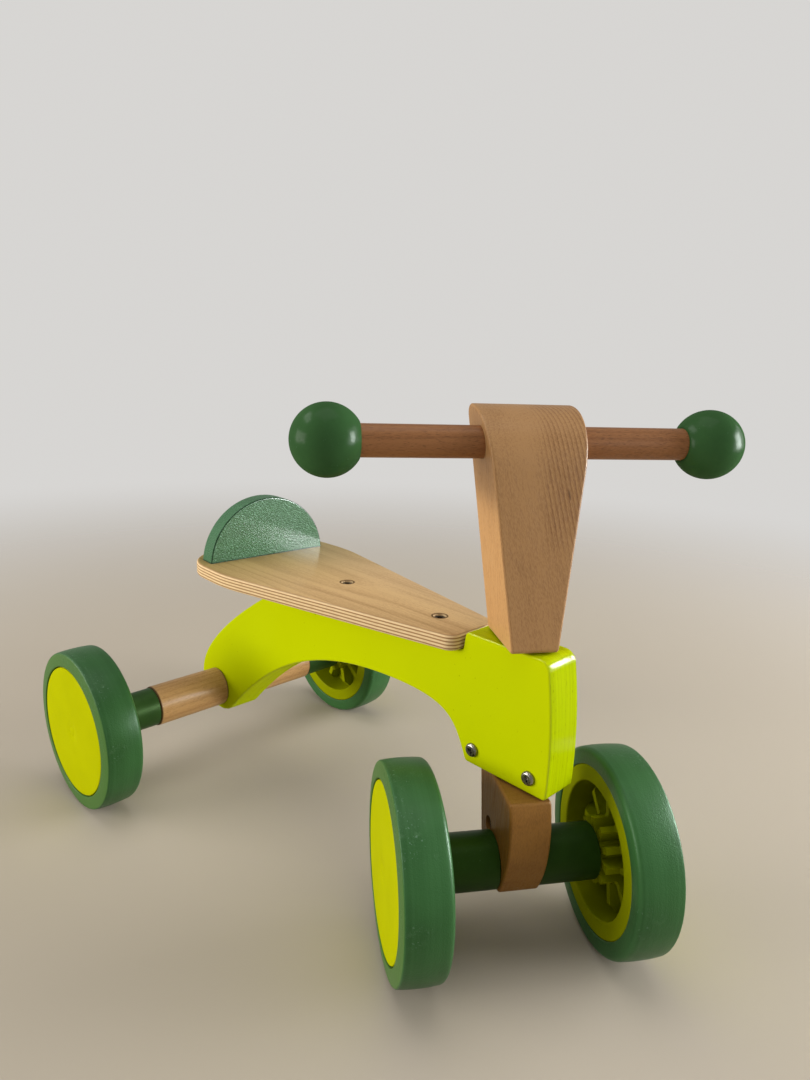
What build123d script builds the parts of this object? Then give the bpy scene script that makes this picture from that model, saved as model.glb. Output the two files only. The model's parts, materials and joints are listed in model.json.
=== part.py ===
from build123d import *
from math import cos, radians, sin, sqrt, tan
import os

os.makedirs("parts", exist_ok=True)

# Four-wheeled wooden ride-on for a toddler, stored as it stands with its front axle turned.
# Millimetres and degrees. Forward is -Y, the rider's right is -X, the wheels stand on z = 0.

# Wheels
tyre_radius = 75.0
tyre_tread_width = 33.0
tyre_wall_cone = 1.5
tyre_crown_drop = 1.0
tyre_outer_shoulder = 1.5
tyre_inner_shoulder = 3.5
rim_radius = 61.5
rim_ring_width = 12.5
rim_back_recess = 0.6
rim_edge_radius = 1.2
rim_key_width = 11.0
rim_key_height = 2.0
rim_groove_width = 5.5
rim_groove_floor = 5.0
web_setback = 3.0
web_thickness = 3.0
hub_tube_radius = 13.0
cup_radius = 20.0
cup_wall = 3.0
rib_count = 10
rib_start_angle = 22.0
rib_thickness = 5.0
rib_shoulder = 11.0
rib_fin_root = 1.5
rib_foot = 12.2
rib_rim_slope = 7.0
rib_end_setback = 0.5
disc_thickness = 2.5
disc_recess = 0.8
disc_dome = 0.8
disc_gap = 0.9
disc_edge_radius = 0.8
disc_skirt_depth = 5.0
disc_skirt_wall = 2.5

# Axles and what holds the wheels on them
axle_radius = 5.0
axle_end_chamfer = 0.8
wheel_bush_radius = 8.0
bush_flange_radius = 12.0
bush_flange = 1.5
washer_radius = 9.0
washer_thickness = 1.0
axle_cap_radius = 8.0
axle_cap_length = 5.5
axle_cap_end = 1.2
axle_cap_gap = 0.5

# Layout
steering_from_rear_axle = 374.0
front_axle_lead = 14.2
rear_width = 342.0
front_width = 192.0
rest_steer_angle = 33.7

# Frame beam
frame_thickness = 32.0
frame_edge_radius = 1.6
tail_lead = 1.9
tail_rise = 8.7
tail_radius = 33.3
tail_exit_angle = 46.5
crown_setback = 97.2
beam_depth_at_crown = 45.7
arch_rear_pull = 0.343
crown_rear_pull = 0.488
crown_front_pull = 0.755
heel_pull = 0.441
heel_setback = 32.0
heel_angle = 65.8
heel_radius = 4.0
toe_radius = 3.5
head_depth = 99.6
head_front_lead = 40.0
head_front_bulge = 3.2
head_front_lean = 6.7
head_front_corner = 9.0
head_rise_above_seat = 2.9
head_step_setback = 40.0
head_step_lean = 2.0
head_step_corner = 4.0
head_step_root = 3.5
seat_floor_rear = 131.0
seat_floor_angle = 26.0
seat_floor_corner = 40.0
back_lower_pull = 0.266
back_upper_pull = 0.335

# Seat and backrest
seat_height = 233.5
seat_thickness = 12.5
seat_rear = 29.0
seat_front_gap = 2.0
seat_rear_half_width = 69.5
seat_shoulder_half_width = 72.5
seat_shoulder_from_rear = 76.0
seat_front_half_width = 25.0
seat_rear_corner = 42.0
seat_shoulder_curve = 150.0
seat_front_corner = 10.0
seat_edge_radius = 2.5
seat_screw_from_front = 36.0
seat_screw_spacing = 108.8
seat_screw_radius = 3.0
seat_screw_head_radius = 5.0
seat_screw_head = 3.0
seat_screw_sink = 4.5
seat_screw_length = 34.0
hex_socket_size = 5.0
hex_socket_depth = 2.0
seat_insert_radius = 5.0
seat_insert_length = 24.0
backrest_radius = 60.0
backrest_height = 55.6
backrest_thickness = 17.5
backrest_front_from_rear = 46.0
backrest_twist = 4.5
backrest_offset = 2.0
backrest_edge_radius = 1.2
backrest_screw_spacing = 60.0
backrest_screw_radius = 2.0
backrest_screw_head_radius = 4.2
backrest_screw_head = 2.6
backrest_screw_length = 34.0

# Rear tubes and collars
rear_tube_radius = 19.7
rear_tube_length = 75.0
rear_collar_radius = 18.8
collar_spigot_radius = 12.0
collar_spigot_length = 20.0
turned_edge_chamfer = 0.8

# Front sleeves and fork block
front_sleeve_radius = 20.4
fork_width = 30.0
fork_top_front_lead = 40.3
fork_belly_lead = 44.3
fork_foot_front_lead = 29.0
fork_top_back = 29.5
fork_foot_back = 12.5
fork_foot_drop = 17.6
fork_edge_radius = 2.0
fork_top_corner = 2.5
fork_toe_corner = 6.0
fork_heel_corner = 14.0
barrel_nut_radius = 6.5
barrel_nut_length = 24.0
barrel_nut_rise = 18.5
barrel_nut_sink = 3.0

# Steering rod, bushes and head screws
steering_rod_radius = 6.0
steering_rod_in_post = 62.0
rod_stud_radius = 4.0
rod_stud_past_nut = 3.0
rod_shoulder_above_nut = 1.0
head_bore_middle_radius = 7.5
steering_bush_radius = 10.0
steering_bush_length = 30.0
steering_flange_radius = 12.5
steering_flange = 1.2
post_insert_radius = 9.0
post_insert_length = 30.0
head_screw_spread = 25.3
head_screw_rise = 11.8
head_screw_radius = 2.5
head_screw_length = 20.0
head_screw_head_radius = 5.2
head_screw_head = 2.8
sleeve_nut_radius = 3.6
sleeve_nut_length = 24.0
phillips_length = 5.4
phillips_width = 1.2
phillips_depth = 1.6

# Handlebar post, handlebar and knobs
post_height = 158.8
post_foot_width = 33.0
post_top_width = 73.4
post_foot_front = 26.0
post_foot_back = 28.0
post_front_lean = 7.8
post_back_lean = 6.0
post_crown_radius = 46.0
post_back_corner = 8.0
post_top_flat = 0.5
post_foot_corner = 3.0
post_edge_radius = 1.8
handlebar_below_top = 23.8
handlebar_setback = 16.3
handlebar_shift = 1.6
handlebar_radius = 11.0
knob_radius = 24.2
knob_spread = 135.6
knob_socket_past_centre = 2.0
knob_flat_radius = 12.5
bar_screw_radius = 2.0
bar_screw_head_radius = 4.0
bar_screw_head = 2.5
bar_screw_sink = 1.5

# Clearances
run_gap = 0.3
thrust_gap = 0.2
run_fit = 0.08
seat_fit = 0.05
pass_fit = 0.2

# Heights, in the upright direction
axle_height = tyre_radius
seat_floor = seat_height - seat_thickness
head_top = seat_height + head_rise_above_seat
head_bottom = head_top - head_depth
thrust_stack = thrust_gap + washer_thickness
post_foot = head_top + thrust_stack
post_top = post_foot + post_height
fork_top = head_bottom - thrust_stack
fork_foot = axle_height - fork_foot_drop
handlebar_height = post_top - handlebar_below_top
barrel_nut_height = axle_height + barrel_nut_rise

# The tyre's section: crown arc, then a shoulder of its own centre
tyre_shoulder = tyre_radius - tyre_crown_drop
wheel_width = tyre_tread_width + tyre_wall_cone
half_tread = tyre_tread_width / 2
crown_arc = (half_tread**2 + tyre_crown_drop**2) / (2 * tyre_crown_drop)
wall_run = tyre_shoulder - rim_radius
wall_across = wall_run / sqrt(wall_run**2 + tyre_wall_cone**2)
wall_out = tyre_wall_cone / sqrt(wall_run**2 + tyre_wall_cone**2)
crown_depth = crown_arc - tyre_crown_drop
fillet_off = half_tread * wall_across + crown_depth * wall_out - tyre_outer_shoulder
fillet_up = sqrt((crown_arc - tyre_outer_shoulder) ** 2 - fillet_off**2)
shoulder_across = wall_across * fillet_off - wall_out * fillet_up
shoulder_out = tyre_radius - crown_arc + wall_out * fillet_off + wall_across * fillet_up

# The box's middle, front to back, is the origin, so the rear axle lies this far behind it
turn = radians(rest_steer_angle)
front_wheel_middle = front_width / 2 - tyre_wall_cone - half_tread
front_tyre_reach = shoulder_out * cos(turn) + shoulder_across * sin(turn) + tyre_outer_shoulder
front_reach = front_axle_lead * cos(turn) + front_wheel_middle * sin(turn) + front_tyre_reach
rear_axle_y = (steering_from_rear_axle + front_reach - tyre_radius) / 2
steering_y = rear_axle_y - steering_from_rear_axle

# Side planes: local x forward, local y up, normal to the rider's right
up = Vector(0, 0, 1)
frame_side = Plane(origin=(0, rear_axle_y, 0), x_dir=(0, -1, 0), z_dir=(-1, 0, 0))
steer_forward = Vector(-sin(turn), -cos(turn), 0)
steer_right = Vector(-cos(turn), sin(turn), 0)
steer_side = Plane(origin=(0, steering_y, 0), x_dir=steer_forward, z_dir=steer_right)
steer_front = Plane(origin=(0, steering_y, 0), x_dir=-steer_right, z_dir=steer_forward)
frame_right_axis = Axis((0, 0, 0), frame_side.z_dir)
steer_right_axis = Axis((0, 0, 0), steer_right)
rear_axle = (0, axle_height)
front_axle = (front_axle_lead, axle_height)
sides = (("right", 1), ("left", -1))


def frame_plan(height):
    """Level plane over the rear axle: local x forward, local y to the rider's left."""
    return Plane(origin=(0, rear_axle_y, height), x_dir=(0, -1, 0), z_dir=(0, 0, 1))


def steer_plan(height):
    """Level plane on the steering axis: local x along the turned front's forward."""
    return Plane(origin=(0, steering_y, height), x_dir=steer_forward, z_dir=(0, 0, 1))


def along_axle(side, axle, sign):
    """Plane through an axle: local x outwards from the middle line, local y up."""
    outward = side.z_dir * sign
    middle = side.from_local_coords(Vector(axle[0], axle[1], 0))
    return Plane(origin=middle, x_dir=outward, z_dir=outward.cross(up))


def across_axle(side, axle, sign, distance):
    """Plane square to an axle at a distance from the middle line, facing outwards."""
    outward = side.z_dir * sign
    middle = side.from_local_coords(Vector(axle[0], axle[1], 0))
    return Plane(origin=middle + outward * distance, x_dir=up, z_dir=outward)


def along(start, angle, distance):
    """Point at a distance from a start, along a direction in degrees above forward."""
    return (start[0] + distance * cos(radians(angle)), start[1] + distance * sin(radians(angle)))


# Wheel stations along the axle, counted from the outside face of the wheel inwards
disc_seat = disc_recess + disc_thickness
web_front = disc_seat + web_setback
web_back = web_front + web_thickness
axle_end = disc_seat + axle_cap_gap + axle_cap_end
washer_outside = disc_seat + axle_cap_gap + axle_cap_length
cup_front = washer_outside + washer_thickness + run_gap
cup_back = cup_front + cup_wall
hub_end = wheel_width - run_gap
sleeve_end = hub_end + bush_flange + run_gap
rear_outside = rear_width / 2
front_outside = front_width / 2
half_frame = frame_thickness / 2
half_fork = fork_width / 2
rear_tube_end = half_frame + rear_tube_length
rim_inner_radius = rim_radius - rim_ring_width
groove_outer_radius = rim_radius - (rim_ring_width - rim_groove_width) / 2
groove_inner_radius = groove_outer_radius - rim_groove_width
skirt_outer_radius = groove_outer_radius - pass_fit
skirt_inner_radius = skirt_outer_radius - disc_skirt_wall
disc_radius = rim_radius - disc_gap
fin_radius = hub_tube_radius + rib_shoulder
axle_hole_radius = axle_radius + pass_fit


# Frame beam: side outline with round tail, arch and head, then its bores
tail = (tail_lead, axle_height + tail_rise)
tail_back = (tail[0] - tail_radius, tail[1])
arch_start = along(tail, tail_exit_angle - 90, tail_radius)
crown = (steering_from_rear_axle - crown_setback, seat_floor - beam_depth_at_crown)
heel = (steering_from_rear_axle - heel_setback, head_bottom)
arch_span = crown[0] - arch_start[0]
heel_span = heel[0] - crown[0]
head_toe = (steering_from_rear_axle + head_front_lead, head_bottom)
head_brow = (head_toe[0] - head_front_lean, head_top)
head_front_middle = ((head_toe[0] + head_brow[0]) / 2 + head_front_bulge, (head_bottom + head_top) / 2)
step_top = (steering_from_rear_axle - head_step_setback + head_step_lean, head_top)
step_foot = (steering_from_rear_axle - head_step_setback, seat_floor)
floor_rear = (seat_floor_rear, seat_floor)
back_span = floor_rear[0] - tail_back[0]
seat_front = step_foot[0] - seat_front_gap
front_seat_screw = seat_front - seat_screw_from_front
seat_screw_places = (front_seat_screw, front_seat_screw - seat_screw_spacing)
head_screw_places = (
    (steering_from_rear_axle - head_screw_spread, head_bottom + head_screw_rise),
    (steering_from_rear_axle + head_screw_spread, head_bottom + head_screw_rise),
)

with BuildPart() as frame_beam:
    with BuildSketch(frame_side) as frame_outline:
        with BuildLine():
            CenterArc(tail, tail_radius, 180, 90 + tail_exit_angle)
            Bezier(
                arch_start,
                along(arch_start, tail_exit_angle, arch_span * arch_rear_pull),
                (crown[0] - arch_span * crown_rear_pull, crown[1]),
                crown,
            )
            Bezier(
                crown,
                (crown[0] + heel_span * crown_front_pull, crown[1]),
                along(heel, 180 - heel_angle, heel_span * heel_pull),
                heel,
            )
            Line(heel, head_toe)
            ThreePointArc(head_toe, head_front_middle, head_brow)
            Polyline(head_brow, step_top, step_foot, floor_rear)
            Bezier(
                floor_rear,
                along(floor_rear, 180 + seat_floor_angle, back_span * back_upper_pull),
                (tail_back[0], tail_back[1] + back_span * back_lower_pull),
                tail_back,
            )
        make_face()
        fillet(frame_outline.vertices().sort_by_distance(heel)[0], heel_radius)
        fillet(frame_outline.vertices().sort_by_distance(head_toe)[0], toe_radius)
        fillet(frame_outline.vertices().sort_by_distance(head_brow)[0], head_front_corner)
        fillet(frame_outline.vertices().sort_by_distance(step_top)[0], head_step_corner)
        fillet(frame_outline.vertices().sort_by_distance(step_foot)[0], head_step_root)
        fillet(frame_outline.vertices().sort_by_distance(floor_rear)[0], seat_floor_corner)
    extrude(amount=half_frame, both=True)
    cheeks = frame_beam.faces().sort_by(frame_right_axis)
    fillet(cheeks[0].edges() + cheeks[-1].edges(), frame_edge_radius)
    with BuildSketch(frame_side):
        with Locations(rear_axle):
            Circle(axle_radius + seat_fit)
        with Locations(*head_screw_places):
            Circle(sleeve_nut_radius + seat_fit)
    extrude(amount=frame_thickness, both=True, mode=Mode.SUBTRACT)
    with BuildSketch(steer_plan(head_bottom)):
        Circle(head_bore_middle_radius)
    extrude(amount=head_depth, mode=Mode.SUBTRACT)
    for bush_start in (head_bottom, head_top - steering_bush_length):
        with BuildSketch(steer_plan(bush_start)):
            Circle(steering_bush_radius + seat_fit)
        extrude(amount=steering_bush_length, mode=Mode.SUBTRACT)
    for flange_start in (head_bottom, head_top - steering_flange):
        with BuildSketch(steer_plan(flange_start)):
            Circle(steering_flange_radius + seat_fit)
        extrude(amount=steering_flange, mode=Mode.SUBTRACT)
    with BuildSketch(frame_plan(seat_floor)):
        with Locations(*[(place, 0) for place in seat_screw_places]):
            Circle(seat_insert_radius + seat_fit)
    extrude(amount=-(seat_insert_length + pass_fit), mode=Mode.SUBTRACT)
frame_beam.part.label = "frame_beam"
export_step(frame_beam.part, "parts/frame_beam.step")

# Seat board
seat_shoulder = seat_rear + seat_shoulder_from_rear
backrest_front = seat_rear + backrest_front_from_rear
backrest_middle = backrest_front - backrest_thickness / 2
twist = radians(backrest_twist)
backrest_left = Vector(cos(twist), -sin(twist), 0)
backrest_rearward = Vector(sin(twist), cos(twist), 0)
screw_ahead = backrest_screw_spacing / 2 * sin(twist)
screw_aside = backrest_screw_spacing / 2 * cos(twist)
backrest_screw_places = (
    (backrest_middle + screw_ahead, screw_aside - backrest_offset),
    (backrest_middle - screw_ahead, -screw_aside - backrest_offset),
)
with BuildPart() as seat_board:
    with BuildSketch(frame_plan(seat_floor)) as seat_outline:
        with BuildLine():
            Polyline(
                (seat_rear, -seat_rear_half_width),
                (seat_shoulder, -seat_shoulder_half_width),
                (seat_front, -seat_front_half_width),
                (seat_front, seat_front_half_width),
                (seat_shoulder, seat_shoulder_half_width),
                (seat_rear, seat_rear_half_width),
                close=True,
            )
        make_face()
        fillet(seat_outline.vertices().group_by(Axis.X)[-1], seat_front_corner)
        fillet(seat_outline.vertices().group_by(Axis.X)[0], seat_rear_corner)
        shoulders = seat_outline.vertices().filter_by_position(Axis.X, seat_shoulder - 1, seat_shoulder + 1)
        fillet(shoulders, seat_shoulder_curve)
    extrude(amount=seat_thickness)
    rims = seat_board.faces().sort_by(Axis.Z)
    fillet(rims[0].edges() + rims[-1].edges(), seat_edge_radius)
    with BuildSketch(frame_plan(seat_height)):
        with Locations(*[(place, 0) for place in seat_screw_places]):
            Circle(seat_screw_head_radius + pass_fit)
    extrude(amount=-seat_screw_sink, mode=Mode.SUBTRACT)
    with BuildSketch(frame_plan(seat_floor)):
        with Locations(*[(place, 0) for place in seat_screw_places]):
            Circle(seat_screw_radius + pass_fit)
        with Locations(*backrest_screw_places):
            Circle(backrest_screw_radius + seat_fit)
    extrude(amount=seat_thickness, mode=Mode.SUBTRACT)
    with BuildSketch(frame_plan(seat_floor)):
        with Locations(*backrest_screw_places):
            Circle(backrest_screw_head_radius + pass_fit)
    extrude(amount=backrest_screw_head, mode=Mode.SUBTRACT)
seat_board.part.label = "seat_board"
export_step(seat_board.part, "parts/seat_board.step")

# Seat screws with hexagon sockets, and their threaded inserts in the frame
screw_head_seat = seat_height - seat_screw_sink
screw_head_top = screw_head_seat + seat_screw_head
with BuildPart() as seat_screws:
    with BuildSketch(frame_plan(screw_head_seat)):
        with Locations(*[(place, 0) for place in seat_screw_places]):
            Circle(seat_screw_head_radius)
    extrude(amount=seat_screw_head)
    chamfer(seat_screws.faces().group_by(Axis.Z)[-1].edges(), turned_edge_chamfer)
    with BuildSketch(frame_plan(screw_head_seat)):
        with Locations(*[(place, 0) for place in seat_screw_places]):
            Circle(seat_screw_radius)
    extrude(amount=-(seat_screw_length - seat_screw_head))
    with BuildSketch(frame_plan(screw_head_top)):
        with Locations(*[(place, 0) for place in seat_screw_places]):
            RegularPolygon(hex_socket_size / 2, 6)
    extrude(amount=-hex_socket_depth, mode=Mode.SUBTRACT)
seat_screws.part.label = "seat_screws"
export_step(seat_screws.part, "parts/seat_screws.step")

with BuildPart() as seat_inserts:
    with BuildSketch(frame_plan(seat_floor - seat_insert_length)):
        with Locations(*[(place, 0) for place in seat_screw_places]):
            Circle(seat_insert_radius)
            Circle(seat_screw_radius + seat_fit, mode=Mode.SUBTRACT)
    extrude(amount=seat_insert_length)
seat_inserts.part.label = "seat_inserts"
export_step(seat_inserts.part, "parts/seat_inserts.step")

# Backrest: a segment of a disc standing on the seat, its left end turned a little forward
backrest_half_chord = sqrt(backrest_radius**2 - (backrest_radius - backrest_height) ** 2)
backrest_foot = Vector(-backrest_offset, rear_axle_y - backrest_middle, seat_height)
backrest_face = backrest_foot - backrest_rearward * (backrest_thickness / 2)
backrest_plane = Plane(origin=backrest_face, x_dir=backrest_left, z_dir=backrest_rearward)
screw_in_backrest = backrest_screw_length - seat_thickness
with BuildPart() as backrest:
    with BuildSketch(backrest_plane) as backrest_outline:
        with BuildLine():
            ThreePointArc((-backrest_half_chord, 0), (0, -backrest_height), (backrest_half_chord, 0))
            Line((backrest_half_chord, 0), (-backrest_half_chord, 0))
        make_face()
    extrude(amount=backrest_thickness)
    rounded = backrest.edges().filter_by(GeomType.CIRCLE)
    fillet(rounded, backrest_edge_radius)
    with BuildSketch(frame_plan(seat_height)):
        with Locations(*backrest_screw_places):
            Circle(backrest_screw_radius + seat_fit)
    extrude(amount=screw_in_backrest + pass_fit, mode=Mode.SUBTRACT)
backrest.part.label = "backrest"
export_step(backrest.part, "parts/backrest.step")

with BuildPart() as backrest_screws:
    with BuildSketch(frame_plan(seat_floor)):
        with Locations(*backrest_screw_places):
            Circle(backrest_screw_head_radius)
    extrude(amount=backrest_screw_head)
    with BuildSketch(frame_plan(seat_floor)):
        with Locations(*backrest_screw_places):
            Circle(backrest_screw_radius)
    extrude(amount=backrest_screw_length)
backrest_screws.part.label = "backrest_screws"
export_step(backrest_screws.part, "parts/backrest_screws.step")

# Steering bushes in the head: flange let into the head's face, sleeve in its bore
with BuildPart() as upper_steering_bush:
    with BuildSketch(steer_plan(head_top)):
        Circle(steering_flange_radius)
    extrude(amount=-steering_flange)
    with BuildSketch(steer_plan(head_top)):
        Circle(steering_bush_radius)
    extrude(amount=-steering_bush_length)
    with BuildSketch(steer_plan(head_top)):
        Circle(steering_rod_radius + run_fit)
    extrude(amount=-head_depth, mode=Mode.SUBTRACT)
upper_steering_bush.part.label = "upper_steering_bush"
export_step(upper_steering_bush.part, "parts/upper_steering_bush.step")

with BuildPart() as lower_steering_bush:
    with BuildSketch(steer_plan(head_bottom)):
        Circle(steering_flange_radius)
    extrude(amount=steering_flange)
    with BuildSketch(steer_plan(head_bottom)):
        Circle(steering_bush_radius)
    extrude(amount=steering_bush_length)
    with BuildSketch(steer_plan(head_bottom)):
        Circle(steering_rod_radius + run_fit)
    extrude(amount=head_depth, mode=Mode.SUBTRACT)
lower_steering_bush.part.label = "lower_steering_bush"
export_step(lower_steering_bush.part, "parts/lower_steering_bush.step")

# Cross screws low in the head, with sleeve nuts from the other side
pan_radius = (head_screw_head_radius**2 + head_screw_head**2) / (2 * head_screw_head)
pan_rise = sqrt(pan_radius**2 - (head_screw_head_radius / 2) ** 2) - (pan_radius - head_screw_head)
pan_rim = (0, head_screw_head_radius)
pan_middle = (pan_rise, head_screw_head_radius / 2)
pan_top = (head_screw_head, 0)


def pan_head(place, sign):
    """Pan head on the head's side face, with a cross slot in its top."""
    outward = frame_side.z_dir * sign
    seat = frame_side.from_local_coords(Vector(place[0], place[1], sign * half_frame))
    turning = Plane(origin=seat, x_dir=outward, z_dir=outward.cross(up))
    slot_floor = Plane(origin=seat + outward * (head_screw_head - phillips_depth), x_dir=up, z_dir=outward)
    with BuildPart() as head:
        with BuildSketch(turning):
            with BuildLine():
                ThreePointArc(pan_rim, pan_middle, pan_top)
                Polyline(pan_top, (0, 0), pan_rim)
            make_face()
        revolve(axis=Axis(seat, outward))
        with BuildSketch(slot_floor):
            Rectangle(phillips_length, phillips_width)
            Rectangle(phillips_width, phillips_length)
        extrude(amount=phillips_depth, mode=Mode.SUBTRACT)
    return head.part


with BuildPart() as head_screws:
    with BuildSketch(frame_side.offset(half_frame)):
        with Locations(*head_screw_places):
            Circle(head_screw_radius)
    extrude(amount=-head_screw_length)
    for place in head_screw_places:
        add(pan_head(place, 1))
head_screws.part.label = "head_screws"
export_step(head_screws.part, "parts/head_screws.step")

with BuildPart() as head_sleeve_nuts:
    with BuildSketch(frame_side.offset(-half_frame)):
        with Locations(*head_screw_places):
            Circle(sleeve_nut_radius)
    extrude(amount=sleeve_nut_length)
    with BuildSketch(frame_side.offset(-half_frame + phillips_depth)):
        with Locations(*head_screw_places):
            Circle(head_screw_radius + seat_fit)
    extrude(amount=sleeve_nut_length, mode=Mode.SUBTRACT)
    for place in head_screw_places:
        add(pan_head(place, -1))
head_sleeve_nuts.part.label = "head_sleeve_nuts"
export_step(head_sleeve_nuts.part, "parts/head_sleeve_nuts.step")

# Rear tubes of wood and their collars, one pair on each side of the tail
rear_collar_end = rear_outside - sleeve_end
for side_name, sign in sides:
    with BuildPart() as rear_tube:
        with BuildSketch(across_axle(frame_side, rear_axle, sign, half_frame)):
            Circle(rear_tube_radius)
        extrude(amount=rear_tube_length)
        chamfer(rear_tube.edges(), turned_edge_chamfer)
        with BuildSketch(across_axle(frame_side, rear_axle, sign, half_frame)):
            Circle(axle_hole_radius)
        extrude(amount=rear_tube_length, mode=Mode.SUBTRACT)
        with BuildSketch(across_axle(frame_side, rear_axle, sign, rear_tube_end)):
            Circle(collar_spigot_radius + seat_fit)
        extrude(amount=-(collar_spigot_length + pass_fit), mode=Mode.SUBTRACT)
    rear_tube.part.label = f"rear_tube_{side_name}"
    export_step(rear_tube.part, f"parts/rear_tube_{side_name}.step")

    with BuildPart() as rear_collar:
        with BuildSketch(across_axle(frame_side, rear_axle, sign, rear_tube_end)):
            Circle(rear_collar_radius)
        extrude(amount=rear_collar_end - rear_tube_end)
        chamfer(rear_collar.edges(), turned_edge_chamfer)
        with BuildSketch(across_axle(frame_side, rear_axle, sign, rear_tube_end)):
            Circle(collar_spigot_radius)
        extrude(amount=-collar_spigot_length)
        with BuildSketch(across_axle(frame_side, rear_axle, sign, half_frame)):
            Circle(axle_hole_radius)
        extrude(amount=rear_outside, mode=Mode.SUBTRACT)
    rear_collar.part.label = f"rear_collar_{side_name}"
    export_step(rear_collar.part, f"parts/rear_collar_{side_name}.step")

# Front sleeves between fork block and wheels
front_sleeve_end = front_outside - sleeve_end
for side_name, sign in sides:
    with BuildPart() as front_sleeve:
        with BuildSketch(across_axle(steer_side, front_axle, sign, half_fork)):
            Circle(front_sleeve_radius)
        extrude(amount=front_sleeve_end - half_fork)
        chamfer(front_sleeve.edges(), turned_edge_chamfer)
        with BuildSketch(across_axle(steer_side, front_axle, sign, half_fork)):
            Circle(axle_hole_radius)
        extrude(amount=front_sleeve_end - half_fork, mode=Mode.SUBTRACT)
    front_sleeve.part.label = f"front_sleeve_{side_name}"
    export_step(front_sleeve.part, f"parts/front_sleeve_{side_name}.step")

# Axle rods with their washers and push-on caps
axle_sets = (
    ("rear", frame_side, rear_axle, rear_outside),
    ("front", steer_side, front_axle, front_outside),
)
for axle_name, side, axle, outside in axle_sets:
    with BuildPart() as axle_rod:
        with BuildSketch(across_axle(side, axle, 1, 0)):
            Circle(axle_radius)
        extrude(amount=outside - axle_end, both=True)
        chamfer(axle_rod.edges().filter_by(GeomType.CIRCLE), axle_end_chamfer)
    axle_rod.part.label = f"{axle_name}_axle"
    export_step(axle_rod.part, f"parts/{axle_name}_axle.step")

    with BuildPart() as axle_washers:
        for side_name, sign in sides:
            with BuildSketch(across_axle(side, axle, sign, outside - washer_outside)):
                Circle(washer_radius)
                Circle(axle_radius + seat_fit, mode=Mode.SUBTRACT)
            extrude(amount=-washer_thickness)
    axle_washers.part.label = f"{axle_name}_axle_washers"
    export_step(axle_washers.part, f"parts/{axle_name}_axle_washers.step")

    with BuildPart() as axle_caps:
        for side_name, sign in sides:
            with BuildSketch(across_axle(side, axle, sign, outside - washer_outside)):
                Circle(axle_cap_radius)
            extrude(amount=axle_cap_length)
        chamfer(axle_caps.edges().filter_by(GeomType.CIRCLE), axle_end_chamfer)
        for side_name, sign in sides:
            with BuildSketch(across_axle(side, axle, sign, outside - washer_outside)):
                Circle(axle_radius + seat_fit)
            extrude(amount=axle_cap_length - axle_cap_end, mode=Mode.SUBTRACT)
    axle_caps.part.label = f"{axle_name}_axle_caps"
    export_step(axle_caps.part, f"parts/{axle_name}_axle_caps.step")


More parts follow.
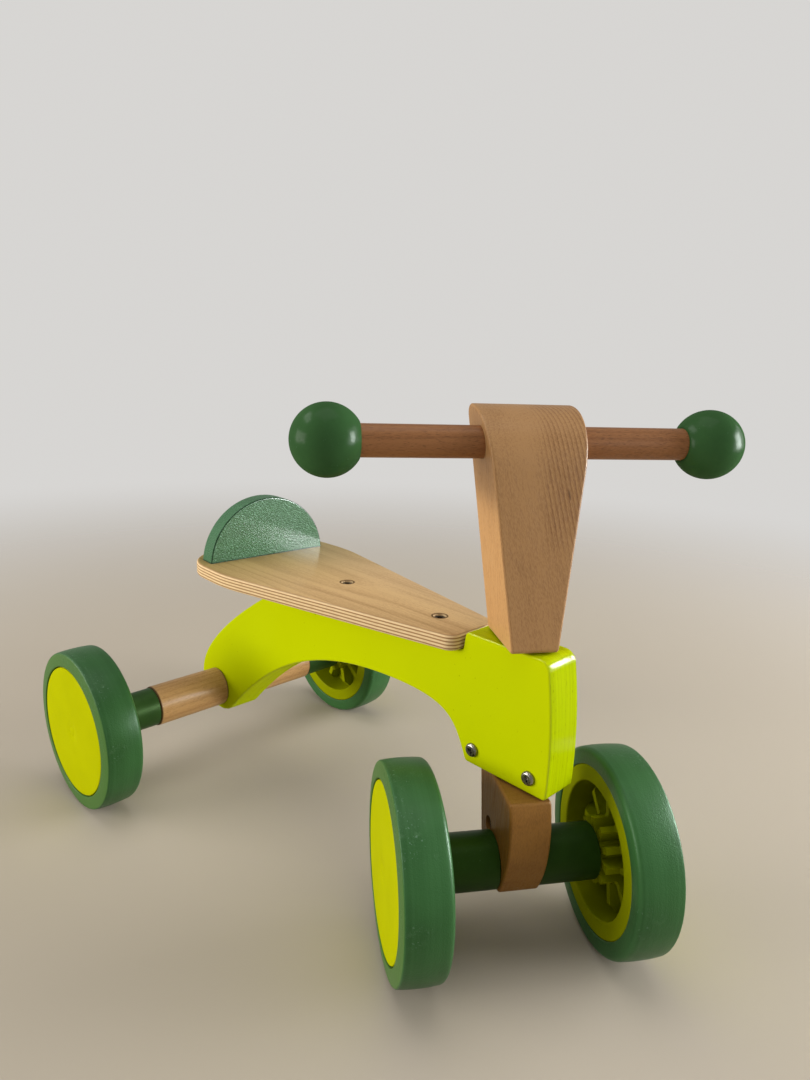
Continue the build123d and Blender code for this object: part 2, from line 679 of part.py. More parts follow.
def build_wheel(name, side, axle, sign, outside):
    """Tyre, ribbed hub, outside disc and bush of one wheel."""
    axis_plane = along_axle(side, axle, sign)
    spin = Axis(axis_plane.origin, axis_plane.x_dir)
    inside = outside - wheel_width
    tread_edge = outside - tyre_wall_cone
    middle = tread_edge - half_tread
    key_low = middle - rim_key_width / 2
    key_high = middle + rim_key_width / 2

    with BuildPart() as tyre:
        with BuildSketch(axis_plane) as tyre_section:
            with BuildLine():
                ThreePointArc((inside, tyre_shoulder), (middle, tyre_radius), (tread_edge, tyre_shoulder))
                Polyline(
                    (tread_edge, tyre_shoulder),
                    (outside, rim_radius),
                    (key_high, rim_radius),
                    (key_high, rim_radius + rim_key_height),
                    (key_low, rim_radius + rim_key_height),
                    (key_low, rim_radius),
                    (inside, rim_radius),
                    (inside, tyre_shoulder),
                )
            make_face()
            outer_corner = tyre_section.vertices().sort_by_distance((tread_edge, tyre_shoulder))[0]
            fillet(outer_corner, tyre_outer_shoulder)
            inner_corner = tyre_section.vertices().sort_by_distance((inside, tyre_shoulder))[0]
            fillet(inner_corner, tyre_inner_shoulder)
        revolve(axis=spin)
    tyre.part.label = f"{name}_tyre"
    export_step(tyre.part, f"parts/{name}_tyre.step")

    rim_back = inside + rim_back_recess
    rim_front = outside - disc_seat
    rim_face = rim_radius - seat_fit
    rim_back_band = (rim_back - seat_fit, rim_back + seat_fit)
    groove_floor = rim_back + rim_groove_floor
    with BuildPart() as hub:
        with BuildSketch(axis_plane) as hub_section:
            with BuildLine():
                Polyline(
                    (outside - hub_end, wheel_bush_radius + seat_fit),
                    (outside - hub_end, hub_tube_radius),
                    (outside - cup_back, hub_tube_radius),
                    (outside - cup_back, cup_radius),
                    (outside - web_back, cup_radius),
                    (outside - web_back, rim_inner_radius),
                    (rim_back, rim_inner_radius),
                    (rim_back, rim_face),
                    (key_low + seat_fit, rim_face),
                    (key_low + seat_fit, rim_face + rim_key_height),
                    (key_high - seat_fit, rim_face + rim_key_height),
                    (key_high - seat_fit, rim_face),
                    (rim_front, rim_face),
                    (rim_front, groove_outer_radius),
                    (groove_floor, groove_outer_radius),
                    (groove_floor, groove_inner_radius),
                    (rim_front, groove_inner_radius),
                    (rim_front, rim_inner_radius),
                    (outside - web_front, rim_inner_radius),
                    (outside - web_front, cup_radius - cup_wall),
                    (outside - cup_front, cup_radius - cup_wall),
                    (outside - cup_front, wheel_bush_radius + seat_fit),
                    close=True,
                )
            make_face()
            fillet(hub_section.vertices().filter_by_position(Axis.X, *rim_back_band), rim_edge_radius)
        revolve(axis=spin)
        for rib in range(rib_count):
            rib_angle = rib_start_angle + 360 / rib_count * rib
            with BuildSketch(axis_plane.moved(Location((0, 0, 0), (rib_angle, 0, 0)))):
                with BuildLine():
                    Polyline(
                        (outside - hub_end + rib_end_setback, hub_tube_radius - cup_wall),
                        (outside - hub_end + rib_end_setback, fin_radius),
                        (outside - web_back - rib_foot - rib_fin_root, fin_radius),
                        (outside - web_back - rib_foot, fin_radius + rib_fin_root),
                        (outside - web_back - rib_foot, rim_inner_radius - rib_rim_slope),
                        (outside - web_back - web_thickness, rim_inner_radius + web_thickness),
                        (outside - web_back + web_thickness / 2, rim_inner_radius + web_thickness),
                        (outside - web_back + web_thickness / 2, cup_radius - cup_wall / 2),
                        (outside - cup_back + cup_wall / 2, cup_radius - cup_wall / 2),
                        (outside - cup_back + cup_wall / 2, hub_tube_radius - cup_wall),
                        close=True,
                    )
                make_face()
            extrude(amount=rib_thickness / 2, both=True)
    hub.part.label = f"{name}_hub"
    export_step(hub.part, f"parts/{name}_hub.step")

    disc_rim = outside - disc_recess
    dome_radius = (disc_radius**2 + disc_dome**2) / (2 * disc_dome)
    dome_middle = disc_rim + disc_dome - dome_radius + sqrt(dome_radius**2 - (disc_radius / 2) ** 2)
    disc_top = (disc_rim + disc_dome, 0)
    with BuildPart() as disc:
        with BuildSketch(axis_plane) as disc_section:
            with BuildLine():
                ThreePointArc((disc_rim, disc_radius), (dome_middle, disc_radius / 2), disc_top)
                Polyline(
                    disc_top,
                    (rim_front, 0),
                    (rim_front, skirt_inner_radius),
                    (rim_front - disc_skirt_depth, skirt_inner_radius),
                    (rim_front - disc_skirt_depth, skirt_outer_radius),
                    (rim_front, skirt_outer_radius),
                    (rim_front, disc_radius),
                    (disc_rim, disc_radius),
                )
            make_face()
            fillet(disc_section.vertices().sort_by_distance((disc_rim, disc_radius))[0], disc_edge_radius)
        revolve(axis=spin)
    disc.part.label = f"{name}_disc"
    export_step(disc.part, f"parts/{name}_disc.step")

    with BuildPart() as bush:
        with BuildSketch(across_axle(side, axle, sign, outside - hub_end)):
            Circle(wheel_bush_radius)
        extrude(amount=hub_end - cup_front)
        with BuildSketch(across_axle(side, axle, sign, outside - hub_end)):
            Circle(bush_flange_radius)
        extrude(amount=-bush_flange)
        with BuildSketch(across_axle(side, axle, sign, inside - wheel_width)):
            Circle(axle_radius + run_fit)
        extrude(amount=2 * wheel_width, mode=Mode.SUBTRACT)
    bush.part.label = f"{name}_bush"
    export_step(bush.part, f"parts/{name}_bush.step")


for axle_name, side, axle, outside in axle_sets:
    for side_name, sign in sides:
        build_wheel(f"{axle_name}_{side_name}", side, axle, sign, outside)

# Fork block: side outline with a bowed front, bored for axle, rod and barrel nut
fork_front = (fork_top_front_lead, fork_top)
fork_belly = (fork_belly_lead, (fork_top + fork_foot) / 2)
fork_toe = (fork_foot_front_lead, fork_foot)
fork_heel = (-fork_foot_back, fork_foot)
fork_back = (-fork_top_back, fork_top)
with BuildPart() as fork_block:
    with BuildSketch(steer_side) as fork_outline:
        with BuildLine():
            ThreePointArc(fork_front, fork_belly, fork_toe)
            Polyline(fork_toe, fork_heel, fork_back, fork_front)
        make_face()
        fillet(fork_outline.vertices().sort_by_distance(fork_toe)[0], fork_toe_corner)
        fillet(fork_outline.vertices().sort_by_distance(fork_heel)[0], fork_heel_corner)
        fillet(fork_outline.vertices().sort_by_distance(fork_front)[0], fork_top_corner)
        fillet(fork_outline.vertices().sort_by_distance(fork_back)[0], fork_top_corner)
    extrude(amount=half_fork, both=True)
    fork_cheeks = fork_block.faces().sort_by(steer_right_axis)
    fillet(fork_cheeks[0].edges() + fork_cheeks[-1].edges(), fork_edge_radius)
    with BuildSketch(steer_side):
        with Locations(front_axle):
            Circle(axle_radius + seat_fit)
    extrude(amount=fork_width, both=True, mode=Mode.SUBTRACT)
    with BuildSketch(steer_side.offset(half_fork)):
        with Locations((0, barrel_nut_height)):
            Circle(barrel_nut_radius + seat_fit)
    extrude(amount=-(barrel_nut_sink + barrel_nut_length + pass_fit), mode=Mode.SUBTRACT)
    with BuildSketch(steer_plan(fork_top)):
        Circle(steering_rod_radius + seat_fit)
    extrude(amount=barrel_nut_height - fork_top, mode=Mode.SUBTRACT)
    with BuildSketch(steer_plan(barrel_nut_height)):
        Circle(rod_stud_radius + pass_fit)
    extrude(amount=-(barrel_nut_radius + rod_stud_past_nut + pass_fit), mode=Mode.SUBTRACT)
fork_block.part.label = "fork_block"
export_step(fork_block.part, "parts/fork_block.step")

with BuildPart() as barrel_nut:
    with BuildSketch(steer_side.offset(half_fork - barrel_nut_sink)):
        with Locations((0, barrel_nut_height)):
            Circle(barrel_nut_radius)
    extrude(amount=-barrel_nut_length)
    with BuildSketch(steer_plan(barrel_nut_height)):
        Circle(rod_stud_radius + seat_fit)
    extrude(amount=2 * barrel_nut_radius, both=True, mode=Mode.SUBTRACT)
    slot_face = steer_side.offset(half_fork - barrel_nut_sink)
    with BuildSketch(slot_face):
        with Locations((0, barrel_nut_height)):
            Rectangle(2 * barrel_nut_radius, phillips_width)
    extrude(amount=-phillips_depth, mode=Mode.SUBTRACT)
barrel_nut.part.label = "barrel_nut"
export_step(barrel_nut.part, "parts/barrel_nut.step")

# Steering rod: stud in the barrel nut, shaft through the head, top in the post's insert
rod_shoulder = barrel_nut_height + barrel_nut_radius + rod_shoulder_above_nut
rod_end = barrel_nut_height - barrel_nut_radius - rod_stud_past_nut
with BuildPart() as steering_rod:
    with BuildSketch(steer_plan(rod_shoulder)):
        Circle(steering_rod_radius)
    extrude(amount=post_foot + steering_rod_in_post - rod_shoulder)
    with BuildSketch(steer_plan(rod_shoulder)):
        Circle(rod_stud_radius)
    extrude(amount=rod_end - rod_shoulder)
    rod_ends = steering_rod.faces().sort_by(Axis.Z)
    chamfer(rod_ends[0].edges() + rod_ends[-1].edges(), axle_end_chamfer)
steering_rod.part.label = "steering_rod"
export_step(steering_rod.part, "parts/steering_rod.step")

with BuildPart() as post_insert:
    with BuildSketch(steer_plan(post_foot)):
        Circle(post_insert_radius)
        Circle(steering_rod_radius + seat_fit, mode=Mode.SUBTRACT)
    extrude(amount=post_insert_length)
post_insert.part.label = "post_insert"
export_step(post_insert.part, "parts/post_insert.step")

# Thrust washers that turn with the post and with the fork block
with BuildPart() as upper_thrust_washer:
    with BuildSketch(steer_plan(post_foot)):
        Circle(steering_flange_radius)
        Circle(steering_rod_radius + seat_fit, mode=Mode.SUBTRACT)
    extrude(amount=-washer_thickness)
upper_thrust_washer.part.label = "upper_thrust_washer"
export_step(upper_thrust_washer.part, "parts/upper_thrust_washer.step")

with BuildPart() as lower_thrust_washer:
    with BuildSketch(steer_plan(fork_top)):
        Circle(steering_flange_radius)
        Circle(steering_rod_radius + seat_fit, mode=Mode.SUBTRACT)
    extrude(amount=washer_thickness)
lower_thrust_washer.part.label = "lower_thrust_washer"
export_step(lower_thrust_washer.part, "parts/lower_thrust_washer.step")

# Handlebar post: leaning side outline cut to a wedge that widens upwards
post_front_top = post_foot_front - post_height * tan(radians(post_front_lean))
post_back_top = -post_foot_back - post_height * tan(radians(post_back_lean))
back_corner_run = post_back_corner / tan(radians((90 - post_back_lean) / 2))
crown_room = post_front_top - post_back_top - back_corner_run - post_top_flat
crown_radius = min(post_crown_radius, crown_room / tan(radians((90 - post_front_lean) / 2)))
bar_axis = (-handlebar_setback, handlebar_height)
bar_screw_face = -post_foot_back - (handlebar_height - post_foot) * tan(radians(post_back_lean))
bar_screw_seat = bar_screw_face + bar_screw_sink + bar_screw_head
with BuildPart() as handlebar_post:
    with BuildSketch(steer_side) as post_outline:
        with BuildLine():
            Polyline(
                (post_foot_front, post_foot),
                (post_front_top, post_top),
                (post_back_top, post_top),
                (-post_foot_back, post_foot),
                close=True,
            )
        make_face()
        fillet(post_outline.vertices().sort_by_distance((post_back_top, post_top))[0], post_back_corner)
        fillet(post_outline.vertices().sort_by_distance((post_front_top, post_top))[0], crown_radius)
        fillet(post_outline.vertices().group_by(Axis.Y)[0], post_foot_corner)
    extrude(amount=post_top_width, both=True)
    with BuildSketch(steer_front):
        with BuildLine():
            Polyline(
                (-post_foot_width / 2, post_foot),
                (post_foot_width / 2, post_foot),
                (post_top_width / 2, post_top),
                (-post_top_width / 2, post_top),
                close=True,
            )
        make_face()
    extrude(amount=post_height, both=True, mode=Mode.INTERSECT)
    post_cheeks = handlebar_post.faces().sort_by(steer_right_axis)
    fillet(post_cheeks[0].edges() + post_cheeks[-1].edges(), post_edge_radius)
    with BuildSketch(steer_side):
        with Locations(bar_axis):
            Circle(handlebar_radius + seat_fit)
    extrude(amount=post_top_width, both=True, mode=Mode.SUBTRACT)
    with BuildSketch(steer_plan(post_foot)):
        Circle(post_insert_radius + seat_fit)
    extrude(amount=post_insert_length + pass_fit, mode=Mode.SUBTRACT)
    with BuildSketch(steer_plan(post_foot)):
        Circle(steering_rod_radius + seat_fit)
    extrude(amount=steering_rod_in_post + pass_fit, mode=Mode.SUBTRACT)
    with BuildSketch(steer_front.offset(bar_screw_seat)):
        with Locations((0, handlebar_height)):
            Circle(bar_screw_head_radius + pass_fit)
    extrude(amount=-post_height, mode=Mode.SUBTRACT)
    with BuildSketch(steer_front.offset(bar_screw_seat)):
        with Locations((0, handlebar_height)):
            Circle(bar_screw_radius + seat_fit)
    extrude(amount=-handlebar_setback - bar_screw_seat, mode=Mode.SUBTRACT)
handlebar_post.part.label = "handlebar_post"
export_step(handlebar_post.part, "parts/handlebar_post.step")

# Handlebar dowel, its lock screw and the ball knobs
bar_half_length = knob_spread + knob_socket_past_centre
with BuildPart() as handlebar:
    with BuildSketch(steer_side.offset(handlebar_shift)):
        with Locations(bar_axis):
            Circle(handlebar_radius)
    extrude(amount=bar_half_length, both=True)
    chamfer(handlebar.edges().filter_by(GeomType.CIRCLE), turned_edge_chamfer)
    with BuildSketch(steer_front.offset(-handlebar_setback)):
        with Locations((0, handlebar_height)):
            Circle(bar_screw_radius + seat_fit)
    extrude(amount=-2 * handlebar_radius, mode=Mode.SUBTRACT)
handlebar.part.label = "handlebar"
export_step(handlebar.part, "parts/handlebar.step")

with BuildPart() as bar_lock_screw:
    with BuildSketch(steer_front.offset(bar_screw_seat)):
        with Locations((0, handlebar_height)):
            Circle(bar_screw_head_radius)
    extrude(amount=-bar_screw_head)
    with BuildSketch(steer_front.offset(bar_screw_seat)):
        with Locations((0, handlebar_height)):
            Circle(bar_screw_radius)
    extrude(amount=-handlebar_setback - bar_screw_seat - pass_fit)
    with BuildSketch(steer_front.offset(bar_screw_seat - bar_screw_head)):
        with Locations((0, handlebar_height)):
            Rectangle(phillips_length, phillips_width)
            Rectangle(phillips_width, phillips_length)
    extrude(amount=phillips_depth, mode=Mode.SUBTRACT)
bar_lock_screw.part.label = "bar_lock_screw"
export_step(bar_lock_screw.part, "parts/bar_lock_screw.step")

for side_name, sign in sides:
    ball_plane = along_axle(steer_side, bar_axis, sign)
    knob_middle = knob_spread + sign * handlebar_shift
    knob_face = knob_middle - sqrt(knob_radius**2 - knob_flat_radius**2)
    with BuildPart() as knob:
        with BuildSketch(ball_plane):
            with BuildLine():
                ThreePointArc(
                    (knob_face, knob_flat_radius),
                    (knob_middle, knob_radius),
                    (knob_middle + knob_radius, 0),
                )
                Polyline((knob_middle + knob_radius, 0), (knob_face, 0), (knob_face, knob_flat_radius))
            make_face()
        revolve(axis=Axis(ball_plane.origin, ball_plane.x_dir))
        with BuildSketch(across_axle(steer_side, bar_axis, sign, 0)):
            Circle(handlebar_radius + seat_fit)
        extrude(amount=knob_middle + knob_socket_past_centre, mode=Mode.SUBTRACT)
    knob.part.label = f"knob_{side_name}"
    export_step(knob.part, f"parts/knob_{side_name}.step")
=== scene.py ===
import json
from math import cos, pi, radians, sin, sqrt

import bmesh
import bpy
from bpy.props import FloatProperty, FloatVectorProperty, IntProperty, PointerProperty
from bpy.types import NodeSocket, Operator, Panel, PropertyGroup
from mathutils import Matrix, Vector


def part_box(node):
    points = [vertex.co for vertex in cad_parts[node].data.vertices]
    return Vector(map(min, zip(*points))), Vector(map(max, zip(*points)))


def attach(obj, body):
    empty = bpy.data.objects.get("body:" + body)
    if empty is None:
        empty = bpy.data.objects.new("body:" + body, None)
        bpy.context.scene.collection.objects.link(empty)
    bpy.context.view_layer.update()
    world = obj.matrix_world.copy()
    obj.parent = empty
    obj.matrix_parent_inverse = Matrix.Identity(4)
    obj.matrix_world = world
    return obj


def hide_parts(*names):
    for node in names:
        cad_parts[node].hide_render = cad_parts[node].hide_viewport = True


bl_info = {
    "name": "Wooden four-wheeled ride-on",
    "version": (1, 0, 0),
    "blender": (4, 5, 0),
    "location": "View3D > Sidebar > Ride-on",
    "description": "Dresses the ride-on's solids with wood, paint, rubber and plastic, and lights them",
    "category": "Object",
}

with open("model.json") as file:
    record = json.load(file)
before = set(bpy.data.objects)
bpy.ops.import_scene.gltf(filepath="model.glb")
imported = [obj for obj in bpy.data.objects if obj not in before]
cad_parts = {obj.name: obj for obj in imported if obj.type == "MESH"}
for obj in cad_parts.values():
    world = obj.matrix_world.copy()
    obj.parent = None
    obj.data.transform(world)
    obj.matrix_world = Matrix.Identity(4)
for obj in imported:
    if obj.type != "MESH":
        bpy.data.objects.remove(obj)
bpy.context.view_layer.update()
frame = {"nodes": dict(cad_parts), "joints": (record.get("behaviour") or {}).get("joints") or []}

WHEELS = ("rear_right", "rear_left", "front_right", "front_left")
SIDES = ("right", "left")
UP = Vector((0.0, 0.0, 1.0))

# Limits for selecting parts of a mesh: lengths in metres, and the least share of a flat face's normal
WELD = 0.000005
NEAR = 0.0001
AT_AXIS = 0.001
FLAT = 0.9

# Fine shapes in metres, too small to be worth a setting
TREAD_LOOPS = (-0.72, -0.48, -0.24, 0.0, 0.24, 0.48, 0.72)
TREAD_EDGE = 0.001
RIM_LIP = 0.0008
RIM_ROUNDING = 0.0009
DISC_ROUNDING = 0.0008
DISC_RINGS = (
    (0.0040, 0.00008), (0.0120, 0.00018), (0.0140, 0.00016), (0.0140, 0.00010), (0.0095, 0.00004),
    (0.0008, -0.00025), (0.0012, -0.00005), (0.0010, 0.00030), (0.0006, 0.00005))
KNOB_CUT = 0.00002
KNOB_ROUNDING = 0.0005
KNOB_SOCKET_GAP = 0.0001
KNOB_SOCKET_DEPTH = 0.0021
HEAD_DOME = 0.72
SHANK_RADIUS = 0.0025
SHANK_LENGTH = 0.017
CROSS_SLOT = (0.0064, 0.0018, 0.0042)
CROSS_TAPER = (0.45, 0.7, 1.0)

# Painted lines in metres from an edge, a band of gloss and three bands of painted shade: where each starts
# and where it is full
BROW_GLOSS = (0.014, 0.010)
FOOT_SHADE = (0.0016, 0.0006)
TUBE_GAP_SHADE = (0.0018, 0.0006)
SCREW_RECESS_SHADE = (0.0022, 0.0012)

# Woods: the post's pith from the steering axis in metres, and plies as shares of the seat board's height
PITH_ASIDE = 0.062
PITH_BEHIND = 0.020
BROWN_PLIES = (0.17, 0.38, 0.59, 0.80)
TOP_PLY = 0.93

# Fixed tints in linear light
GREEN_GLINT = (0.7, 1.0, 0.8, 1.0)
PORE_BROWN = (0.110, 0.050, 0.022)
PLY_PALE = (0.780, 0.585, 0.330)
PLY_BROWN = (0.330, 0.180, 0.080)

# Green paint of the knobs and the backrest: what both share
GREEN_PAINT = {
    "tone": 40.0, "shade": 0.86, "speck": 700.0, "limit": 0.73, "patch": 40.0, "wear": "Specks",
    "share": 0.35, "tint": (0.140, 0.280, 0.160), "strength": 1.0, "Specular_Tint": GREEN_GLINT}

# Where the floor starts to fade and where it is gone, as shares of its size
FLOOR_FADE = (0.06, 0.24)

# Area lamps: name, place, aim, width, height, power, tint, and whether only glossy reflections show it
LAMPS = (
    ("left_softbox", (-2.05, 1.35, 0.58), (0.0, 0.0, 0.20), 1.7, 1.0, 60.0, (1.0, 0.97, 0.92), False),
    ("right_softbox", (1.90, -1.45, 0.80), (0.0, 0.0, 0.16), 1.7, 1.4, 56.0, (0.98, 0.99, 1.0), False),
    ("low_softbox", (0.95, -1.30, 0.36), (0.0, 0.12, 0.24), 0.9, 0.5, 13.0, (0.96, 0.98, 1.0), False),
    ("top_softbox", (-0.10, 0.00, 2.40), (0.0, 0.0, 0.1), 1.6, 1.6, 16.0, (1.0, 1.0, 1.0), False),
    ("glare_panel", (0.62, -0.74, 0.50), (0.0, 0.14, 0.26), 0.34, 0.36, 24.0, (0.95, 1.0, 1.0), True),
    ("edge_strip", (-0.85, 1.05, 1.80), (0.0, -0.10, 0.2), 1.2, 0.5, 18.0, (1.0, 1.0, 1.0), True),
)


# Sizes and colours that a user may change

def length(name, description, default, least=0.0):
    """Length property in metres."""
    return FloatProperty(name=name, description=description, default=default, min=least, unit="LENGTH")


def angle(name, description, degrees):
    """Angle property."""
    return FloatProperty(name=name, description=description, default=radians(degrees), subtype="ANGLE")


def colour(name, description, default):
    """Colour property in linear light."""
    return FloatVectorProperty(
        name=name, description=description, default=default, size=3, min=0.0, max=1.0, subtype="COLOR")


class RideOnSizes(PropertyGroup):
    """Sizes of the pieces modelled here."""
    tyre_radius: length("Tyre radius", "From the axle to the middle of the tread", 0.07497, 0.02)
    tyre_width: length("Tread width", "Across the tread, along the axle", 0.03298, 0.01)
    tyre_crown: length("Tread crown", "How much higher the tread's middle is than its shoulders", 0.001)
    outer_shoulder: length("Outer shoulder", "Rounding of the tread on the wheel's outside", 0.0015, 0.0005)
    inner_shoulder: length("Inner shoulder", "Rounding of the tread on the wheel's inside", 0.0035, 0.0005)
    wall_cone: length("Side wall cone", "How far the outer side wall stands out at the rim", 0.0015)
    rim_radius: length("Rim radius", "Where the tyre's bore sits on the hub", 0.0615, 0.01)
    disc_radius: length("Disc radius", "Of the smooth cover on the wheel's outside", 0.0604, 0.01)
    disc_thickness: length("Disc thickness", "Of the cover's rim", 0.0025, 0.0005)
    disc_recess: length("Disc recess", "How far the cover's rim lies inside the tyre's side", 0.0006)
    knob_radius: length("Knob radius", "Of the balls on the handlebar", 0.02419, 0.005)
    knob_flat_radius: length("Knob flat", "Radius of the flat where the handlebar goes in", 0.0125, 0.002)
    dowel_radius: length("Dowel radius", "Of the handlebar", 0.011, 0.002)
    screw_head_radius: length("Screw head radius", "Of the pan heads on the frame's side", 0.0052, 0.001)
    screw_head_height: length("Screw head height", "How far a pan head stands out", 0.0028, 0.0005)
    turning_steps: IntProperty(
        name="Turning steps", description="Sides of the round pieces", default=144, min=24, max=256)


class RideOnColours(PropertyGroup):
    """Colours of the finishes."""
    frame_paint: colour("Frame paint", "Lime paint of the frame", (0.492, 0.572, 0.0008))
    wheel_lime: colour("Wheel plastic", "Lime plastic of the discs", (0.414, 0.436, 0.0006))
    # A darkened copy of the wheel lime: painted shade of the hubs' recesses
    hub_shaded_lime: colour("Hub plastic", "Lime plastic of the hubs", (0.262, 0.292, 0.0010))
    gloss_green: colour("Gloss green", "Paint of the knobs", (0.034, 0.092, 0.029))
    stipple_green: colour("Stippled green", "Paint of the backrest", (0.058, 0.155, 0.070))
    rubber: colour("Rubber", "Tyres", (0.037, 0.120, 0.034))
    dark_plastic: colour("Dark plastic", "Front sleeves", (0.017, 0.046, 0.005))
    collar_plastic: colour("Collar plastic", "Rear collars", (0.029, 0.072, 0.017))
    beech_pale: colour("Beech, early wood", "Post", (0.400, 0.218, 0.088))
    beech_ripe: colour("Beech, late wood", "Post", (0.232, 0.110, 0.041))
    fork_pale: colour("Fork block, early wood", "Fork block", (0.265, 0.124, 0.026))
    fork_ripe: colour("Fork block, late wood", "Fork block", (0.185, 0.080, 0.016))
    dowel_pale: colour("Dowel, early wood", "Handlebar", (0.300, 0.130, 0.048))
    dowel_ripe: colour("Dowel, late wood", "Handlebar", (0.190, 0.074, 0.026))
    tube_pale: colour("Tube, early wood", "Rear tubes", (0.480, 0.276, 0.110))
    tube_ripe: colour("Tube, late wood", "Rear tubes", (0.350, 0.176, 0.064))
    birch_pale: colour("Birch, early wood", "Seat", (0.615, 0.404, 0.190))
    birch_ripe: colour("Birch, late wood", "Seat", (0.320, 0.184, 0.075))
    floor: colour("Floor", "Plain floor", (0.460, 0.404, 0.328))
    backdrop: colour("Backdrop", "Behind the floor", (0.680, 0.668, 0.650))


class RideOnStage(PropertyGroup):
    """Camera and floor."""
    lens: FloatProperty(name="Lens", description="Focal length", default=25.59, min=5.0, unit="CAMERA")
    eye: FloatVectorProperty(
        name="Eye", description="Where the camera stands", default=(-0.4131, -0.4551, 0.4326),
        size=3, subtype="TRANSLATION", unit="LENGTH")
    yaw: angle("Yaw", "Camera's turn from +Y to +X", 45.09)
    pitch: angle("Pitch", "Camera's tilt below level", 14.21)
    roll: angle("Roll", "Camera's lean", 2.13)
    floor_size: length("Floor size", "Across the floor", 8.0, 1.0)


# Modelling helpers

def start_piece(name, add, **sizes):
    """Adds a primitive with nothing else selected and opens it in edit mode."""
    bpy.ops.object.select_all(action="DESELECT")
    add(**sizes)
    piece = bpy.context.object
    piece.name = name
    bpy.ops.object.mode_set(mode="EDIT")
    return piece


def pick(piece, kind, test):
    """Selects the vertices, edges or faces whose middle, for faces with the normal, passes a test."""
    bpy.ops.mesh.select_mode(type=kind)
    bpy.ops.mesh.select_all(action="DESELECT")
    mesh = bmesh.from_edit_mesh(piece.data)
    if kind == "VERT":
        found = [v for v in mesh.verts if test(v.co)]
    elif kind == "EDGE":
        found = [e for e in mesh.edges if test((e.verts[0].co + e.verts[1].co) / 2)]
    else:
        found = [f for f in mesh.faces if test(f.calc_center_median(), f.normal)]
    for item in found:
        item.select_set(True)
    mesh.select_flush_mode()
    bmesh.update_edit_mesh(piece.data)
    if not found:
        raise RuntimeError(f"nothing to select on {piece.name}")


def across(point):
    """Distance from the piece's own turning axis."""
    return sqrt(point.x ** 2 + point.y ** 2)


def set_radius(piece, radius):
    """Scales a selected loop about the turning axis to a radius."""
    mesh = bmesh.from_edit_mesh(piece.data)
    share = radius / max(across(v.co) for v in mesh.verts if v.select)
    bpy.ops.transform.resize(value=(share, share, 1.0), center_override=(0.0, 0.0, 0.0))


def rise(distance):
    """Moves the selection along the turning axis."""
    bpy.ops.transform.translate(value=(0.0, 0.0, distance))


def round_edges(offset, segments):
    """Rounds the selected edges."""
    bpy.ops.mesh.bevel(offset=offset, segments=segments, profile=0.5, affect="EDGES")


def pull_out(distance):
    """Extrudes the selected face along the turning axis."""
    bpy.ops.mesh.extrude_region_move(TRANSFORM_OT_translate={"value": (0.0, 0.0, distance)})


def apply_place():
    """Applies the selected objects' places to their meshes, so that the objects are at the origin."""
    bpy.ops.object.transform_apply(location=True, rotation=True, scale=True)


def close_piece(degrees):
    """Ends edit mode with normals outwards and smooth shading below an angle."""
    bpy.ops.mesh.select_mode(type="VERT")
    bpy.ops.mesh.select_all(action="SELECT")
    bpy.ops.mesh.remove_doubles(threshold=WELD)
    bpy.ops.mesh.normals_make_consistent(inside=False)
    bpy.ops.object.mode_set(mode="OBJECT")
    bpy.ops.object.shade_smooth_by_angle(angle=radians(degrees))


def select_only(piece):
    """Makes a piece the only selected one and the active one."""
    bpy.ops.object.select_all(action="DESELECT")
    piece.select_set(True)
    bpy.context.view_layer.objects.active = piece


def remember_place(piece, name):
    """Stores the mesh's own coordinates, so that a pattern follows the piece wherever it is put."""
    points = piece.data.attributes.new(name, "FLOAT_VECTOR", "POINT")
    for vertex, point in zip(piece.data.vertices, points.data):
        point.vector = vertex.co


def upright_matrix(middle, outward):
    """Matrix that puts a piece's turning axis along a direction, with its own x upwards."""
    third = outward.normalized()
    turned = Matrix((UP, third.cross(UP), third)).transposed().to_4x4()
    return Matrix.Translation(middle) @ turned


def copy_to(piece, name, place, finish):
    """Copies a piece with its own mesh, applies the new place to the mesh and coats it."""
    select_only(piece)
    bpy.ops.object.duplicate(linked=False)
    copied = bpy.context.object
    copied.name = name
    copied.data.name = name
    copied.matrix_world = place
    apply_place()
    coat(copied, finish)
    return copied


def drop(piece):
    """Removes a piece that was only a pattern for copies."""
    mesh = piece.data
    bpy.data.objects.remove(piece)
    bpy.data.meshes.remove(mesh)


def joint(name):
    """Joint of the frame by its name."""
    return next(made for made in frame["joints"] if made["name"] == name)


def wheel_place(wheel):
    """Place of a wheel's pieces, from its joint, with their turning axis outwards."""
    spin = joint(wheel + "_spin")
    outward = Vector(spin["axis"])
    if wheel.endswith("right") == (outward.x > 0):
        outward = -outward
    return upright_matrix(Vector(spin["pos_m"]), outward)


def coat(piece, finish):
    """Gives a piece one material."""
    piece.data.materials.clear()
    piece.data.materials.append(finish.material)


def dress(node_name, finish):
    """Gives a CAD node one material."""
    coat(frame["nodes"][node_name], finish)


# Node helpers

def opaque(rgb):
    """Colour with full alpha."""
    return (rgb[0], rgb[1], rgb[2], 1.0)


def darker(rgb, share):
    """Colour scaled in brightness."""
    return (rgb[0] * share, rgb[1] * share, rgb[2] * share, 1.0)


